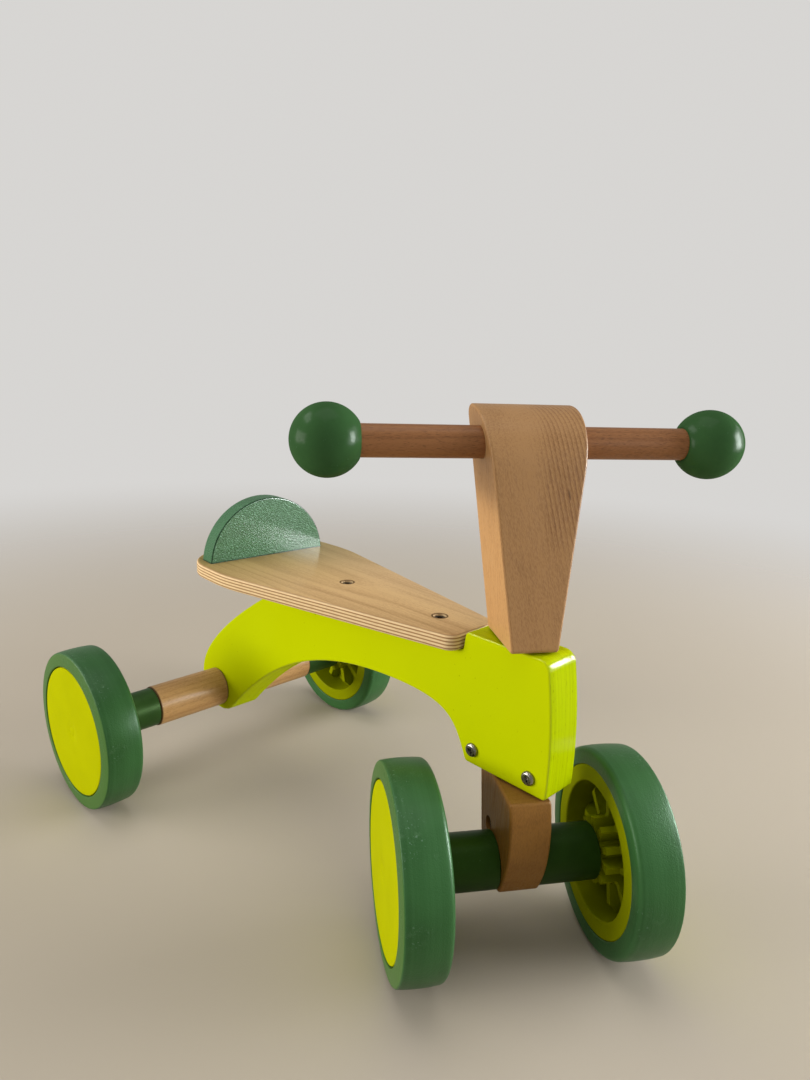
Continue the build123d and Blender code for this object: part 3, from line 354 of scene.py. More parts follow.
class Nodes:
    """Short ways to add nodes to a tree, each giving the socket that holds its result."""

    def __init__(self, tree):
        self.tree = tree

    def join(self, value, socket):
        """Links a socket to another, or sets its constant."""
        if isinstance(value, NodeSocket):
            self.tree.links.new(value, socket)
        else:
            socket.default_value = value

    def put(self, kind, inputs=None, **settings):
        """Adds a node with its properties and inputs, and gives the node."""
        made = self.tree.nodes.new(kind)
        for key, value in settings.items():
            setattr(made, key, value)
        for key, value in (inputs or {}).items():
            self.join(value, made.inputs[key])
        return made

    def calc(self, operation, first, second=0.0, clamp=False):
        """Result of a calculation."""
        made = self.put("ShaderNodeMath", {0: first, 1: second}, operation=operation, use_clamp=clamp)
        return made.outputs[0]

    def times(self, first, second):
        """Product."""
        return self.calc("MULTIPLY", first, second)

    def centred(self, value, share):
        """Noise about zero instead of a half, times a share."""
        return self.times(self.calc("SUBTRACT", value, 0.5), share)

    def measure(self, operation, first, second=(0.0, 0.0, 0.0)):
        """Length, distance or dot product of vectors."""
        return self.put("ShaderNodeVectorMath", {0: first, 1: second}, operation=operation).outputs["Value"]

    def stretch(self, vector, scale):
        """Vector multiplied by a fixed vector."""
        made = self.put("ShaderNodeVectorMath", {0: vector, 1: scale}, operation="MULTIPLY")
        return made.outputs["Vector"]

    def axes(self, vector):
        """Vector's three parts, as X, Y and Z."""
        return self.put("ShaderNodeSeparateXYZ", {0: vector}).outputs

    def noise(self, vector, scale=1.0, detail=2.0, roughness=0.5):
        """Noise between 0 and 1."""
        made = self.put("ShaderNodeTexNoise", {
            "Vector": vector, "Scale": scale, "Detail": detail, "Roughness": roughness})
        return made.outputs[0]

    def span(self, value, low, high, to_low=0.0, to_high=1.0):
        """Value mapped smoothly from one range to another and held at its ends."""
        made = self.put("ShaderNodeMapRange", {
            "Value": value, "From Min": low, "From Max": high, "To Min": to_low, "To Max": to_high},
            interpolation_type="SMOOTHSTEP")
        return made.outputs["Result"]

    def band(self, value, low, full, fading, high):
        """Mask that rises with a value and falls again."""
        fall = self.calc("SUBTRACT", 1.0, self.span(value, fading, high))
        return self.times(self.span(value, low, full), fall)

    def blend(self, share, first, second, kind="MIX"):
        """Two colours mixed by a share."""
        made = self.put("ShaderNodeMix", {0: share, 6: first, 7: second}, data_type="RGBA", blend_type=kind)
        return made.outputs[2]

    def layer(self, under, *coats):
        """Lays tints over a colour, each through a mask and with a share."""
        for mask, share, tint in coats:
            under = self.blend(self.times(mask, share), under, opaque(tint))
        return under


class Finish(Nodes):
    """Material with a Principled shader whose constant sockets are set."""

    def __init__(self, name, **constants):
        self.material = bpy.data.materials.new(name)
        self.material.use_nodes = True
        super().__init__(self.material.node_tree)
        self.shader = self.tree.nodes["Principled BSDF"]
        for key, value in constants.items():
            self.shader.inputs[key.replace("_", " ")].default_value = value

    def feed(self, **sockets):
        """Links results to the shader."""
        for key, value in sockets.items():
            self.tree.links.new(value, self.shader.inputs[key.replace("_", " ")])

    def colour_so_far(self):
        """Socket that feeds the shader's colour."""
        return self.shader.inputs["Base Color"].links[0].from_socket

    def place(self):
        """Object coordinates."""
        return self.put("ShaderNodeTexCoord").outputs["Object"]

    def normal(self):
        """Normal in the object's own frame, as X, Y and Z."""
        return self.axes(self.put("ShaderNodeTexCoord").outputs["Normal"])

    def turned_place(self, middle, turn):
        """Object coordinates moved to a middle and turned, for grain that follows a piece."""
        mapping = self.put("ShaderNodeMapping", {
            "Vector": self.place(), "Location": middle, "Rotation": turn}, vector_type="TEXTURE")
        return mapping.outputs["Vector"]

    def bump(self, height, strength, distance):
        """Bump from a height, with its distance in metres."""
        made = self.put("ShaderNodeBump", {"Height": height, "Strength": strength, "Distance": distance})
        self.feed(Normal=made.outputs["Normal"])

    def group(self, name, **inputs):
        """Adds a node group, and gives the node."""
        named = {key.replace("_", " "): value for key, value in inputs.items()}
        return self.put("ShaderNodeGroup", named, node_tree=bpy.data.node_groups[name])

    def grain(self, middle, turn, tones, spacing, bend, ring, fibre, pores, flecks):
        """Adds wood along the turned z in early, late and pore tones, and gives its outputs."""
        pale, ripe, pore = (opaque(tone) for tone in tones)
        made = self.group(
            "wood_grain", Vector=self.turned_place(middle, turn), Ring_Spacing=spacing, Ring_Bend=bend,
            Ring_Share=ring, Fibre_Share=fibre, Pore_Share=pores, Fleck_Share=flecks, Pale=pale, Ripe=ripe,
            Pore=pore)
        return made.outputs

    def skin(self, vector, base, tone, peel, shade):
        """Adds a painted or moulded skin, and gives its Color and Height."""
        made = self.group(
            "moulded_skin", Vector=vector, Tone_Scale=tone, Peel_Scale=peel, Base=opaque(base),
            Shade=darker(base, shade))
        return made.outputs

    def marks(self, vector, speck, limit, patch):
        """Adds stray marks, and gives the masks Specks and Scuffs."""
        made = self.group(
            "stray_marks", Vector=vector, Speck_Scale=speck, Speck_Limit=limit, Patch_Scale=patch)
        return made.outputs


def new_group(name, inputs, outputs):
    """Empty shader node group with sockets named by their kind, its helper and its two ends."""
    tree = bpy.data.node_groups.new(name, "ShaderNodeTree")
    for way, sockets in (("INPUT", inputs), ("OUTPUT", outputs)):
        for kind, names in sockets.items():
            for socket_name in names:
                tree.interface.new_socket(name=socket_name, in_out=way, socket_type="NodeSocket" + kind)
    given = tree.nodes.new("NodeGroupInput").outputs
    return Nodes(tree), given, tree.nodes.new("NodeGroupOutput").inputs


def make_grain_group():
    """Wood along its own z: bent year rings, fibres and short pores."""
    nodes, given, result = new_group("wood_grain", {
        "Vector": ("Vector",),
        "Float": ("Ring Spacing", "Ring Bend", "Ring Share", "Fibre Share", "Pore Share", "Fleck Share"),
        "Color": ("Pale", "Ripe", "Pore"),
    }, {"Color": ("Color",), "Float": ("Roughness", "Height")})

    def streaks(across_grain, along_grain, detail=1.0, roughness=0.5):
        """Noise drawn out along the grain."""
        drawn = nodes.stretch(given["Vector"], (across_grain, across_grain, along_grain))
        return nodes.noise(drawn, detail=detail, roughness=roughness)

    sway = nodes.centred(streaks(22.0, 5.0), given["Ring Bend"])
    reach = nodes.measure("LENGTH", nodes.stretch(given["Vector"], (1.0, 1.0, 0.0)))
    phase = nodes.calc("DIVIDE", nodes.calc("ADD", reach, sway), given["Ring Spacing"])
    ring = nodes.put("ShaderNodeValToRGB", {0: nodes.calc("FRACT", phase)})
    stops = ring.color_ramp.elements
    for stop, (position, level) in zip(stops, ((0.0, 0.10), (1.0, 0.10))):
        stop.position = position
        stop.color = (level, level, level, 1.0)
    for position, level in ((0.80, 1.0), (0.45, 0.40)):
        stops.new(position).color = (level, level, level, 1.0)
    fibre = streaks(620.0, 9.0, detail=3.0, roughness=0.6)
    pores = nodes.span(streaks(1900.0, 240.0), 0.60, 0.70)
    flecks = nodes.span(streaks(1500.0, 330.0, detail=2.0), 0.35, 0.65)
    ripeness = nodes.times(ring.outputs[0], given["Ring Share"])
    ripeness = nodes.calc("ADD", ripeness, nodes.centred(fibre, given["Fibre Share"]))
    ripeness = nodes.calc("ADD", ripeness, nodes.centred(streaks(45.0, 4.0), 0.9))
    ripeness = nodes.calc("ADD", ripeness, nodes.centred(flecks, given["Fleck Share"]), clamp=True)
    wood = nodes.blend(ripeness, given["Pale"], given["Ripe"])
    wood = nodes.blend(nodes.times(pores, given["Pore Share"]), wood, given["Pore"])
    nodes.join(wood, result["Color"])
    nodes.join(nodes.span(fibre, 0.3, 0.7, 0.36, 0.52), result["Roughness"])
    height = nodes.calc("SUBTRACT", nodes.times(fibre, 0.6), nodes.times(pores, 0.5))
    nodes.join(height, result["Height"])


def make_skin_group():
    """Paint or moulded plastic: slow shifts of tone and a fine orange peel."""
    nodes, given, result = new_group("moulded_skin", {
        "Vector": ("Vector",), "Float": ("Tone Scale", "Peel Scale"), "Color": ("Base", "Shade"),
    }, {"Color": ("Color",), "Float": ("Height",)})
    tone = nodes.span(nodes.noise(given["Vector"], given["Tone Scale"], detail=3.0), 0.30, 0.75)
    nodes.join(nodes.blend(tone, given["Base"], given["Shade"]), result["Color"])
    nodes.join(nodes.noise(given["Vector"], given["Peel Scale"], detail=1.0), result["Height"])


def make_marks_group():
    """Specks of dust and small scuffs, as masks."""
    nodes, given, result = new_group("stray_marks", {
        "Vector": ("Vector",), "Float": ("Speck Scale", "Speck Limit", "Patch Scale"),
    }, {"Float": ("Specks", "Scuffs")})
    vector = given["Vector"]
    fine = nodes.noise(vector, given["Speck Scale"], detail=1.0)
    specks = nodes.calc("GREATER_THAN", fine, given["Speck Limit"])
    patch = nodes.span(nodes.noise(vector, given["Patch Scale"], detail=2.0), 0.48, 0.66)
    rub = nodes.noise(vector, 210.0, detail=4.0, roughness=0.7)
    nodes.join(nodes.times(specks, patch), result["Specks"])
    nodes.join(nodes.times(nodes.span(rub, 0.50, 0.72), patch), result["Scuffs"])


# Finishes that several pieces share

def make_wood(name, middle, turn, tones, gloss, **grain_values):
    """Lacquered wood with its grain along the turned z."""
    finish = Finish(name, Coat_Weight=gloss, Coat_Roughness=0.25, Specular_IOR_Level=0.1)
    grain = finish.grain(middle, turn, tones, **grain_values)
    finish.feed(Base_Color=grain["Color"], Roughness=grain["Roughness"])
    finish.bump(grain["Height"], 0.25, 0.0004)
    return finish


def make_moulded(name, base, tone, peel, shade, speck, limit, patch, wear, share, tint, rough, strength,
                 depth, streak=1.0, **constants):
    """Paint or plastic with an orange peel, drawn out by a streak, and specks or scuffs in a tint."""
    finish = Finish(name, **constants)
    place = finish.place()
    skin = finish.skin(finish.stretch(place, (1.0, 1.0, streak)), base, tone, peel, shade)
    marks = finish.marks(place, speck, limit, patch)
    finish.feed(
        Base_Color=finish.layer(skin["Color"], (marks[wear], share, tint)),
        Roughness=finish.span(marks["Scuffs"], 0.0, 1.0, *rough))
    finish.bump(skin["Height"], strength, depth)
    return finish


def make_steel(name):
    """Zinc-plated steel with slight brushing."""
    finish = Finish(name, Metallic=1.0)
    brush = finish.noise(finish.stretch(finish.place(), (900.0, 900.0, 2600.0)), detail=3.0)
    tone = finish.blend(
        finish.span(brush, 0.3, 0.7), opaque((0.22, 0.205, 0.185)), opaque((0.34, 0.32, 0.29)))
    finish.feed(Base_Color=tone, Roughness=finish.span(brush, 0.3, 0.7, 0.22, 0.38))
    finish.bump(brush, 0.10, 0.0002)
    return finish


# Operators, each after the functions that only it uses

def make_rubber(base):
    """Green rubber with turned bands, a paler outer wall, scuffs and specks of dust."""
    finish = Finish(
        "tyre_rubber_finish", Coat_Weight=0.10, Coat_Roughness=0.30, Specular_IOR_Level=0.12,
        Specular_Tint=GREEN_GLINT)
    place = finish.put("ShaderNodeAttribute", attribute_name="wheel_place").outputs["Vector"]
    width = finish.axes(place)["Z"]
    reach = finish.measure("LENGTH", finish.stretch(place, (1.0, 1.0, 0.0)))
    lathe = finish.put("ShaderNodeCombineXYZ", {0: reach, 1: width}).outputs["Vector"]
    bands = finish.noise(lathe, 420.0, detail=3.0, roughness=0.6)
    skin = finish.skin(place, base, tone=26.0, peel=950.0, shade=0.78)
    marks = finish.marks(place, speck=650.0, limit=0.70, patch=24.0)
    worn = finish.layer(
        skin["Color"],
        (finish.span(bands, 0.35, 0.70), 0.16, (0.070, 0.190, 0.068)),
        (finish.span(width, 0.0160, 0.0165), 0.7, (0.058, 0.145, 0.020)),
        (marks["Scuffs"], 0.30, (0.095, 0.200, 0.090)),
        (marks["Specks"], 0.34, (0.200, 0.330, 0.230)))
    finish.feed(Base_Color=worn, Roughness=finish.span(marks["Scuffs"], 0.0, 1.0, 0.37, 0.56))
    relief = finish.calc("ADD", finish.times(bands, 0.6), skin["Height"])
    relief = finish.calc("ADD", relief, finish.times(marks["Scuffs"], 0.8))
    finish.bump(relief, 0.42, 0.0004)
    return finish


class RIDEON_OT_tyres(Operator):
    """Models one tyre and puts a copy on each wheel"""
    bl_idname = "rideon.tyres"
    bl_label = "Tyres"

    def execute(self, context):
        sizes = context.scene.rideon_sizes
        half = sizes.tyre_width / 2
        side = half - NEAR
        shoulder = sizes.tyre_radius - sizes.tyre_crown
        wall = shoulder - TREAD_EDGE
        lip = sizes.rim_radius + RIM_LIP
        tyre = start_piece(
            "tyre_pattern", bpy.ops.mesh.primitive_cylinder_add, vertices=sizes.turning_steps,
            radius=shoulder, depth=sizes.tyre_width, end_fill_type="NGON")
        pick(tyre, "FACE", lambda middle, normal: abs(normal.z) > FLAT)
        bpy.ops.mesh.inset(thickness=shoulder - sizes.rim_radius, use_individual=True)
        bpy.ops.mesh.delete(type="FACE")
        pick(tyre, "EDGE", lambda middle: across(middle) < lip)
        bpy.ops.mesh.bridge_edge_loops()
        for share in TREAD_LOOPS:
            bpy.ops.mesh.select_mode(type="VERT")
            bpy.ops.mesh.select_all(action="SELECT")
            bpy.ops.mesh.bisect(plane_co=(0.0, 0.0, half * share), plane_no=UP)
            pick(tyre, "VERT", lambda point: abs(point.z - half * share) < 2 * NEAR and across(point) > lip)
            set_radius(tyre, shoulder + sizes.tyre_crown * (1.0 - share ** 2))
        for sign, rounding, cone in (
                (1.0, sizes.outer_shoulder, sizes.wall_cone), (-1.0, sizes.inner_shoulder, 0.0)):
            pick(tyre, "EDGE", lambda middle: middle.z * sign > side and across(middle) > wall)
            round_edges(rounding, 6)
            pick(tyre, "VERT", lambda point: point.z * sign > side and across(point) < lip)
            rise(sign * cone)
        pick(tyre, "EDGE", lambda middle: abs(middle.z) > side and across(middle) < lip)
        round_edges(RIM_ROUNDING, 3)
        close_piece(40)
        remember_place(tyre, "wheel_place")
        finish = make_rubber(context.scene.rideon_colours.rubber)
        for wheel in WHEELS:
            piece = copy_to(tyre, wheel + "_tyre_rubber", wheel_place(wheel), finish)
            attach(piece, wheel + "_wheel")
            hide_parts(wheel + "_tyre")
        drop(tyre)
        return {"FINISHED"}


def make_lime(name, base):
    """Lime plastic with soft gloss and slight moulding marks."""
    return make_moulded(
        name, base, tone=34.0, peel=420.0, shade=0.94, speck=520.0, limit=0.72, patch=30.0,
        wear="Scuffs", share=0.12, tint=darker(base, 0.72), rough=(0.30, 0.45), strength=0.10,
        depth=0.0003, Specular_IOR_Level=0.0, Coat_Weight=0.035, Coat_Roughness=0.16)


class RIDEON_OT_discs(Operator):
    """Models one wheel disc, puts a copy on each wheel's outside and colours the hubs"""
    bl_idname = "rideon.discs"
    bl_label = "Wheel discs"

    def execute(self, context):
        sizes = context.scene.rideon_sizes
        rim = sizes.tyre_width / 2 + sizes.wall_cone - sizes.disc_recess
        disc = start_piece(
            "disc_pattern", bpy.ops.mesh.primitive_cylinder_add, vertices=sizes.turning_steps,
            radius=sizes.disc_radius, depth=sizes.disc_thickness, end_fill_type="NGON")
        rise(rim - sizes.disc_thickness / 2)
        pick(disc, "EDGE", lambda middle: middle.z > rim - NEAR)
        round_edges(DISC_ROUNDING, 4)
        pick(disc, "FACE", lambda middle, normal: normal.z > FLAT and across(middle) < AT_AXIS)
        for step, lift in DISC_RINGS:
            bpy.ops.mesh.inset(thickness=step)
            rise(lift)
        close_piece(35)
        tones = context.scene.rideon_colours
        finish = make_lime("disc_lime_finish", tones.wheel_lime)
        # Darker copy of the disc lime for the hubs: painted shade of their recesses
        shaded_hub_finish = make_lime("hub_lime_finish", tones.hub_shaded_lime)
        for wheel in WHEELS:
            piece = copy_to(disc, wheel + "_disc_cover", wheel_place(wheel), finish)
            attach(piece, wheel + "_wheel")
            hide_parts(wheel + "_disc")
            dress(wheel + "_hub", shaded_hub_finish)
        drop(disc)
        return {"FINISHED"}


class RIDEON_OT_knobs(Operator):
    """Models one ball knob with its flat and socket and puts it on both ends of the handlebar"""
    bl_idname = "rideon.knobs"
    bl_label = "Knobs"

    def execute(self, context):
        sizes = context.scene.rideon_sizes
        flat = sqrt(sizes.knob_radius ** 2 - sizes.knob_flat_radius ** 2)
        knob = start_piece(
            "knob_pattern", bpy.ops.mesh.primitive_uv_sphere_add, segments=96, ring_count=64,
            radius=sizes.knob_radius)
        bpy.ops.mesh.select_all(action="SELECT")
        bpy.ops.mesh.bisect(plane_co=(0.0, 0.0, -flat), plane_no=UP, use_fill=True, clear_inner=True)
        pick(knob, "EDGE", lambda middle: middle.z < -flat + KNOB_CUT)
        round_edges(KNOB_ROUNDING, 3)
        pick(knob, "FACE", lambda middle, normal: normal.z < -FLAT and across(middle) < AT_AXIS)
        bpy.ops.mesh.inset(
            thickness=sizes.knob_flat_radius - KNOB_ROUNDING - sizes.dowel_radius - KNOB_SOCKET_GAP)
        pull_out(flat + KNOB_SOCKET_DEPTH)
        close_piece(40)
        finish = make_moulded(
            "knob_green_finish", context.scene.rideon_colours.gloss_green, peel=190.0, depth=0.00011,
            rough=(0.40, 0.52), Coat_Weight=0.10, Coat_Roughness=0.20, Specular_IOR_Level=0.0,
            **GREEN_PAINT)
        rod_low, rod_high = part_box("handlebar")
        for side in SIDES:
            low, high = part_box("knob_" + side)
            middle = (low + high) / 2
            outward = middle - (rod_low + rod_high) / 2
            outward.z = 0.0
            outward.normalize()
            ball = outward * (flat - sizes.knob_radius) / 2
            piece = copy_to(knob, "knob_ball_" + side, upright_matrix(middle + ball, outward), finish)
            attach(piece, "steering")
            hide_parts("knob_" + side)
        drop(knob)
        return {"FINISHED"}


def cut_cross(screw, height):
    """Cuts a tapered cross into the head's top."""
    for turn in (0.0, pi / 2):
        cutter = start_piece("cross_cutter", bpy.ops.mesh.primitive_cube_add, size=1.0)
        bpy.ops.transform.resize(value=CROSS_SLOT)
        rise(height)
        pick(cutter, "FACE", lambda middle, normal: normal.z < -FLAT)
        bpy.ops.transform.resize(value=CROSS_TAPER, center_override=(0.0, 0.0, 0.0))
        bpy.ops.object.mode_set(mode="OBJECT")
        cutter.rotation_euler = (0.0, 0.0, turn)
        apply_place()
        select_only(screw)
        cut = screw.modifiers.new("cross", "BOOLEAN")
        cut.operation = "DIFFERENCE"
        cut.solver = "EXACT"
        cut.object = cutter
        bpy.ops.object.modifier_apply(modifier=cut.name)
        drop(cutter)


class RIDEON_OT_head_screws(Operator):
    """Models one pan-head screw with a cross recess and puts it in both places on the frame's right side"""
    bl_idname = "rideon.head_screws"
    bl_label = "Head screws"

    def execute(self, context):
        sizes = context.scene.rideon_sizes
        height = sizes.screw_head_height
        radius = sizes.screw_head_radius
        screw = start_piece(
            "screw_pattern", bpy.ops.mesh.primitive_cylinder_add, vertices=64, radius=radius, depth=height,
            end_fill_type="NGON")
        rise(height / 2)
        pick(screw, "EDGE", lambda middle: middle.z > height - NEAR)
        round_edges(height * HEAD_DOME, 10)
        pick(screw, "FACE", lambda middle, normal: normal.z < -FLAT)
        bpy.ops.mesh.inset(thickness=radius - SHANK_RADIUS)
        pull_out(-SHANK_LENGTH)
        bpy.ops.mesh.select_all(action="SELECT")
        bpy.ops.mesh.normals_make_consistent(inside=False)
        bpy.ops.object.mode_set(mode="OBJECT")
        cut_cross(screw, height)
        bpy.ops.object.shade_smooth_by_angle(angle=radians(30))
        finish = make_steel("screw_steel_finish")
        low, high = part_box("head_screws")
        frame_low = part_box("frame_beam")[0]
        level = (low.z + high.z) / 2
        for name, along, roll in (("front", low.y + radius, 0.35), ("rear", high.y - radius, 0.9)):
            place = upright_matrix(Vector((frame_low.x, along, level)), Vector((-1.0, 0.0, 0.0)))
            piece = copy_to(screw, "head_screw_" + name, place @ Matrix.Rotation(roll, 4, "Z"), finish)
            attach(piece, "frame")
            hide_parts("head_screws")
        drop(screw)
        return {"FINISHED"}


def make_frame_paint(base):
    """Lime paint with lines and dots of grain on the board's edge, painted shade on faces turned forward,
    and gloss on its rounded edges.
    """
    finish = Finish("frame_lime_finish", Coat_Roughness=0.10, Specular_IOR_Level=0.0)
    place = finish.place()
    skin = finish.skin(place, base, tone=9.0, peel=380.0, shade=0.95)
    normal = finish.normal()
    flank = finish.calc("ABSOLUTE", normal["X"])
    edge = finish.span(finish.calc("SUBTRACT", 1.0, flank), 0.55, 0.95)
    lines = finish.noise(finish.stretch(place, (1250.0, 11.0, 11.0)), detail=1.0)
    lines = finish.times(finish.span(lines, 0.46, 0.60), edge)
    dots = finish.noise(finish.stretch(place, (900.0, 260.0, 260.0)), detail=1.0)
    dots = finish.times(finish.span(dots, 0.62, 0.72), lines)
    marks = finish.marks(place, speck=420.0, limit=0.76, patch=22.0)
    lined = finish.layer(
        skin["Color"], (lines, 0.40, darker(base, 0.66)), (dots, 0.50, darker(base, 0.35)),
        (marks["Specks"], 0.6, darker(base, 0.30)))
    # Painted shade: faces turned forward are darkened and made a little greener
    front_shade = finish.span(normal["Y"], -0.60, -0.90)
    lined = finish.blend(front_shade, lined, opaque((0.80, 0.85, 1.0)), "MULTIPLY")
    rounding = finish.band(flank, 0.30, 0.55, 0.80, 0.95)
    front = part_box("frame_beam")[0].y
    at_front = finish.span(finish.axes(place)["Y"], *(front + reach for reach in BROW_GLOSS))
    brow = finish.times(finish.band(normal["Z"], 0.25, 0.50, 0.85, 0.97), at_front)
    brow = finish.times(brow, finish.span(lines, 0.0, 0.6, 0.42, 0.06))
    shine = finish.calc("MAXIMUM", finish.times(rounding, 0.6), brow)
    shine = finish.calc("MAXIMUM", finish.span(edge, 0.0, 1.0, 0.03, 0.07), shine)
    rough = finish.span(skin["Height"], 0.3, 0.7, 0.28, 0.40)
    finish.feed(Base_Color=lined, Coat_Weight=shine, Roughness=rough)
    finish.bump(finish.calc("SUBTRACT", finish.times(skin["Height"], 0.5), lines), 0.22, 0.0004)
    return finish


def make_backrest_paint(base):
    """Stippled green paint, dull on the rounded rim, with painted shade on that rim and in a line along the
    foot where it meets the seat.
    """
    finish = make_moulded(
        "backrest_green_finish", base, peel=470.0, streak=2.6, depth=0.00095, rough=(0.34, 0.46),
        Coat_Roughness=0.16, Specular_IOR_Level=0.15, **GREEN_PAINT)
    paint = finish.colour_so_far()
    facing = finish.calc("ABSOLUTE", finish.normal()["Y"])
    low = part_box("backrest")[0]
    # Painted shade on the rounded rim and in a line along the foot, where the backrest meets the seat
    foot = finish.span(finish.axes(finish.place())["Z"], *(low.z + reach for reach in FOOT_SHADE))
    rim = finish.calc("MAXIMUM", finish.band(facing, 0.25, 0.50, 0.93, 0.985), foot)
    finish.feed(
        Base_Color=finish.blend(rim, paint, darker(base, 0.30)),
        Coat_Weight=finish.times(finish.span(facing, 0.92, 0.99), 0.9))
    return finish


class RIDEON_OT_frame_paint(Operator):
    """Paints the frame, with the grain of its end face showing through, and the backrest"""
    bl_idname = "rideon.frame_paint"
    bl_label = "Frame and backrest paint"

    def execute(self, context):
        tones = context.scene.rideon_colours
        dress("frame_beam", make_frame_paint(tones.frame_paint))
        dress("backrest", make_backrest_paint(tones.stipple_green))
        return {"FINISHED"}


def bar_turn():
    """Angle of the handlebar about the upright."""
    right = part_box("knob_right")
    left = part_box("knob_left")
    way = (left[0] + left[1] - right[0] - right[1]) / 2
    return Vector((1.0, 0.0)).angle_signed(Vector((way.x, way.y))) * -1.0


def add_flame(post, axis, turn):
    """Keeps the year rings to the post's upper left part, and adds one dark streak and painted light that
    makes one side paler.
    """
    wood = post.colour_so_far()
    parts = post.axes(post.turned_place((axis.x, axis.y, 0.0), (0.0, 0.0, turn)))
    flame = post.times(post.span(parts["X"], -0.008, 0.014), post.span(parts["Z"], 0.285, 0.335))
    post.join(post.span(flame, 0.0, 1.0, 0.14, 0.85), wood.node.inputs["Ring Share"])
    spot = post.turned_place(
        (axis.x + cos(turn) * 0.020, axis.y + sin(turn) * 0.020, 0.3425), (0.0, radians(-14), turn))
    near = post.measure("LENGTH", post.stretch(spot, (1100.0, 0.0, 190.0)))
    streak = post.span(near, 0.35, 1.0, 0.75, 0.0)
    front = post.span(parts["Y"], -0.006, -0.012)
    marked = post.layer(wood, (streak, front, PORE_BROWN))
    # Painted light: the side facing this way is made paler, below the crown
    normal = post.put("ShaderNodeTexCoord").outputs["Normal"]
    facing = post.measure("DOT_PRODUCT", normal, (-cos(turn), -sin(turn), 0.0))
    lit_side = post.times(post.span(facing, 0.80, 0.95), post.span(parts["Z"], 0.345, 0.325))
    post.feed(Base_Color=post.blend(lit_side, marked, opaque((1.38, 1.38, 1.36)), "MULTIPLY"))


def shade_ends(tube, low, high):
    """Darkens the last millimetre at both ends: painted shade of the gaps against the next pieces."""
    along = tube.axes(tube.place())["X"]
    # Painted shade of the gaps at both ends of the tube
    start = tube.span(along, *(low + reach for reach in TUBE_GAP_SHADE))
    end = tube.span(along, *(high - reach for reach in TUBE_GAP_SHADE))
    gap_shade = (tube.calc("MAXIMUM", start, end), 0.8, (0.060, 0.034, 0.016))
    tube.feed(Base_Color=tube.layer(tube.colour_so_far(), gap_shade))


def make_plywood(tones):
    """Birch plywood: faint lengthwise grain on the faces and its plies on the edge."""
    finish = Finish("seat_plywood_finish", Coat_Roughness=0.20, Specular_IOR_Level=0.0)
    low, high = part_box("seat_board")
    place = finish.place()
    parts = finish.axes(place)
    grain = finish.grain(
        (0.02, 0.0, low.z - 0.12), (radians(90.5), 0.0, 0.0),
        (tones.birch_pale, tones.birch_ripe, (0.26, 0.15, 0.065)), spacing=0.0060, bend=0.014,
        ring=0.40, fibre=0.75, pores=0.22, flecks=0.2)
    upright = finish.normal()["Z"]
    flatness = finish.span(finish.calc("ABSOLUTE", upright), 0.86, 0.97)
    # Painted shade and a greenish painted reflection of the backrest: the seat darkens and turns olive
    # towards its rear
    backrest_shade = finish.span(parts["Y"], 0.0, 0.17)
    shaded_birch = finish.blend(backrest_shade, grain["Color"], opaque((0.58, 0.66, 0.52)), "MULTIPLY")
    shaded_birch = ring_screws(finish, place, shaded_birch)
    rim = finish.times(finish.span(upright, 0.55, 0.75), finish.calc("SUBTRACT", 1.0, flatness))
    streak = finish.noise(finish.stretch(place, (160.0, 160.0, 2600.0)), detail=3.0)
    plies = make_plies(finish, place, low.z, high.z, tones.birch_ripe)
    edge = finish.layer(
        plies, (finish.span(streak, 0.45, 0.75), 0.35, PLY_BROWN), (rim, 0.6, PLY_BROWN))
    finish.feed(
        Base_Color=finish.blend(flatness, edge, shaded_birch), Roughness=grain["Roughness"],
        Coat_Weight=finish.span(parts["X"], -0.010, 0.050, 0.06, 0.45))
    finish.bump(grain["Height"], 0.18, 0.0003)
    return finish


def make_plies(finish, place, low, high, top):
    """Colour of the board's edge: pale plies with brown ones between, a little wavy."""
    wander = finish.noise(finish.stretch(place, (30.0, 30.0, 0.0)), detail=1.0)
    level = finish.calc("ADD", finish.axes(place)["Z"], finish.centred(wander, 0.0006))
    depth = finish.calc("DIVIDE", finish.calc("SUBTRACT", level, low), high - low)
    plies = finish.put("ShaderNodeValToRGB", {0: depth})
    stops = plies.color_ramp.elements
    for stop, (position, tint) in zip(stops, ((0.0, PLY_PALE), (1.0, top))):
        stop.position = position
        stop.color = opaque(tint)
    for middle in BROWN_PLIES:
        for shift, tint in (
                (-0.060, PLY_PALE), (-0.022, PLY_BROWN), (0.022, PLY_BROWN), (0.060, PLY_PALE)):
            stops.new(middle + shift).color = opaque(tint)
    stops.new(TOP_PLY).color = opaque(PLY_PALE)
    return plies.outputs[0]


def ring_screws(finish, place, wood):
    """Darkens the countersunk rims round the two seat screws: painted shade of their recesses."""
    low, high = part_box("seat_screws")
    head = (high.x - low.x) / 2
    flat = finish.stretch(place, (1.0, 1.0, 0.0))
    for along in (low.y + head, high.y - head):
        away = finish.measure("DISTANCE", flat, ((low.x + high.x) / 2, along, 0.0))
        # Painted shade of the countersunk recess round this screw
        recess_shade = finish.span(away, *(head + reach for reach in SCREW_RECESS_SHADE))
        wood = finish.layer(wood, (recess_shade, 0.85, (0.085, 0.045, 0.018)))
    return wood


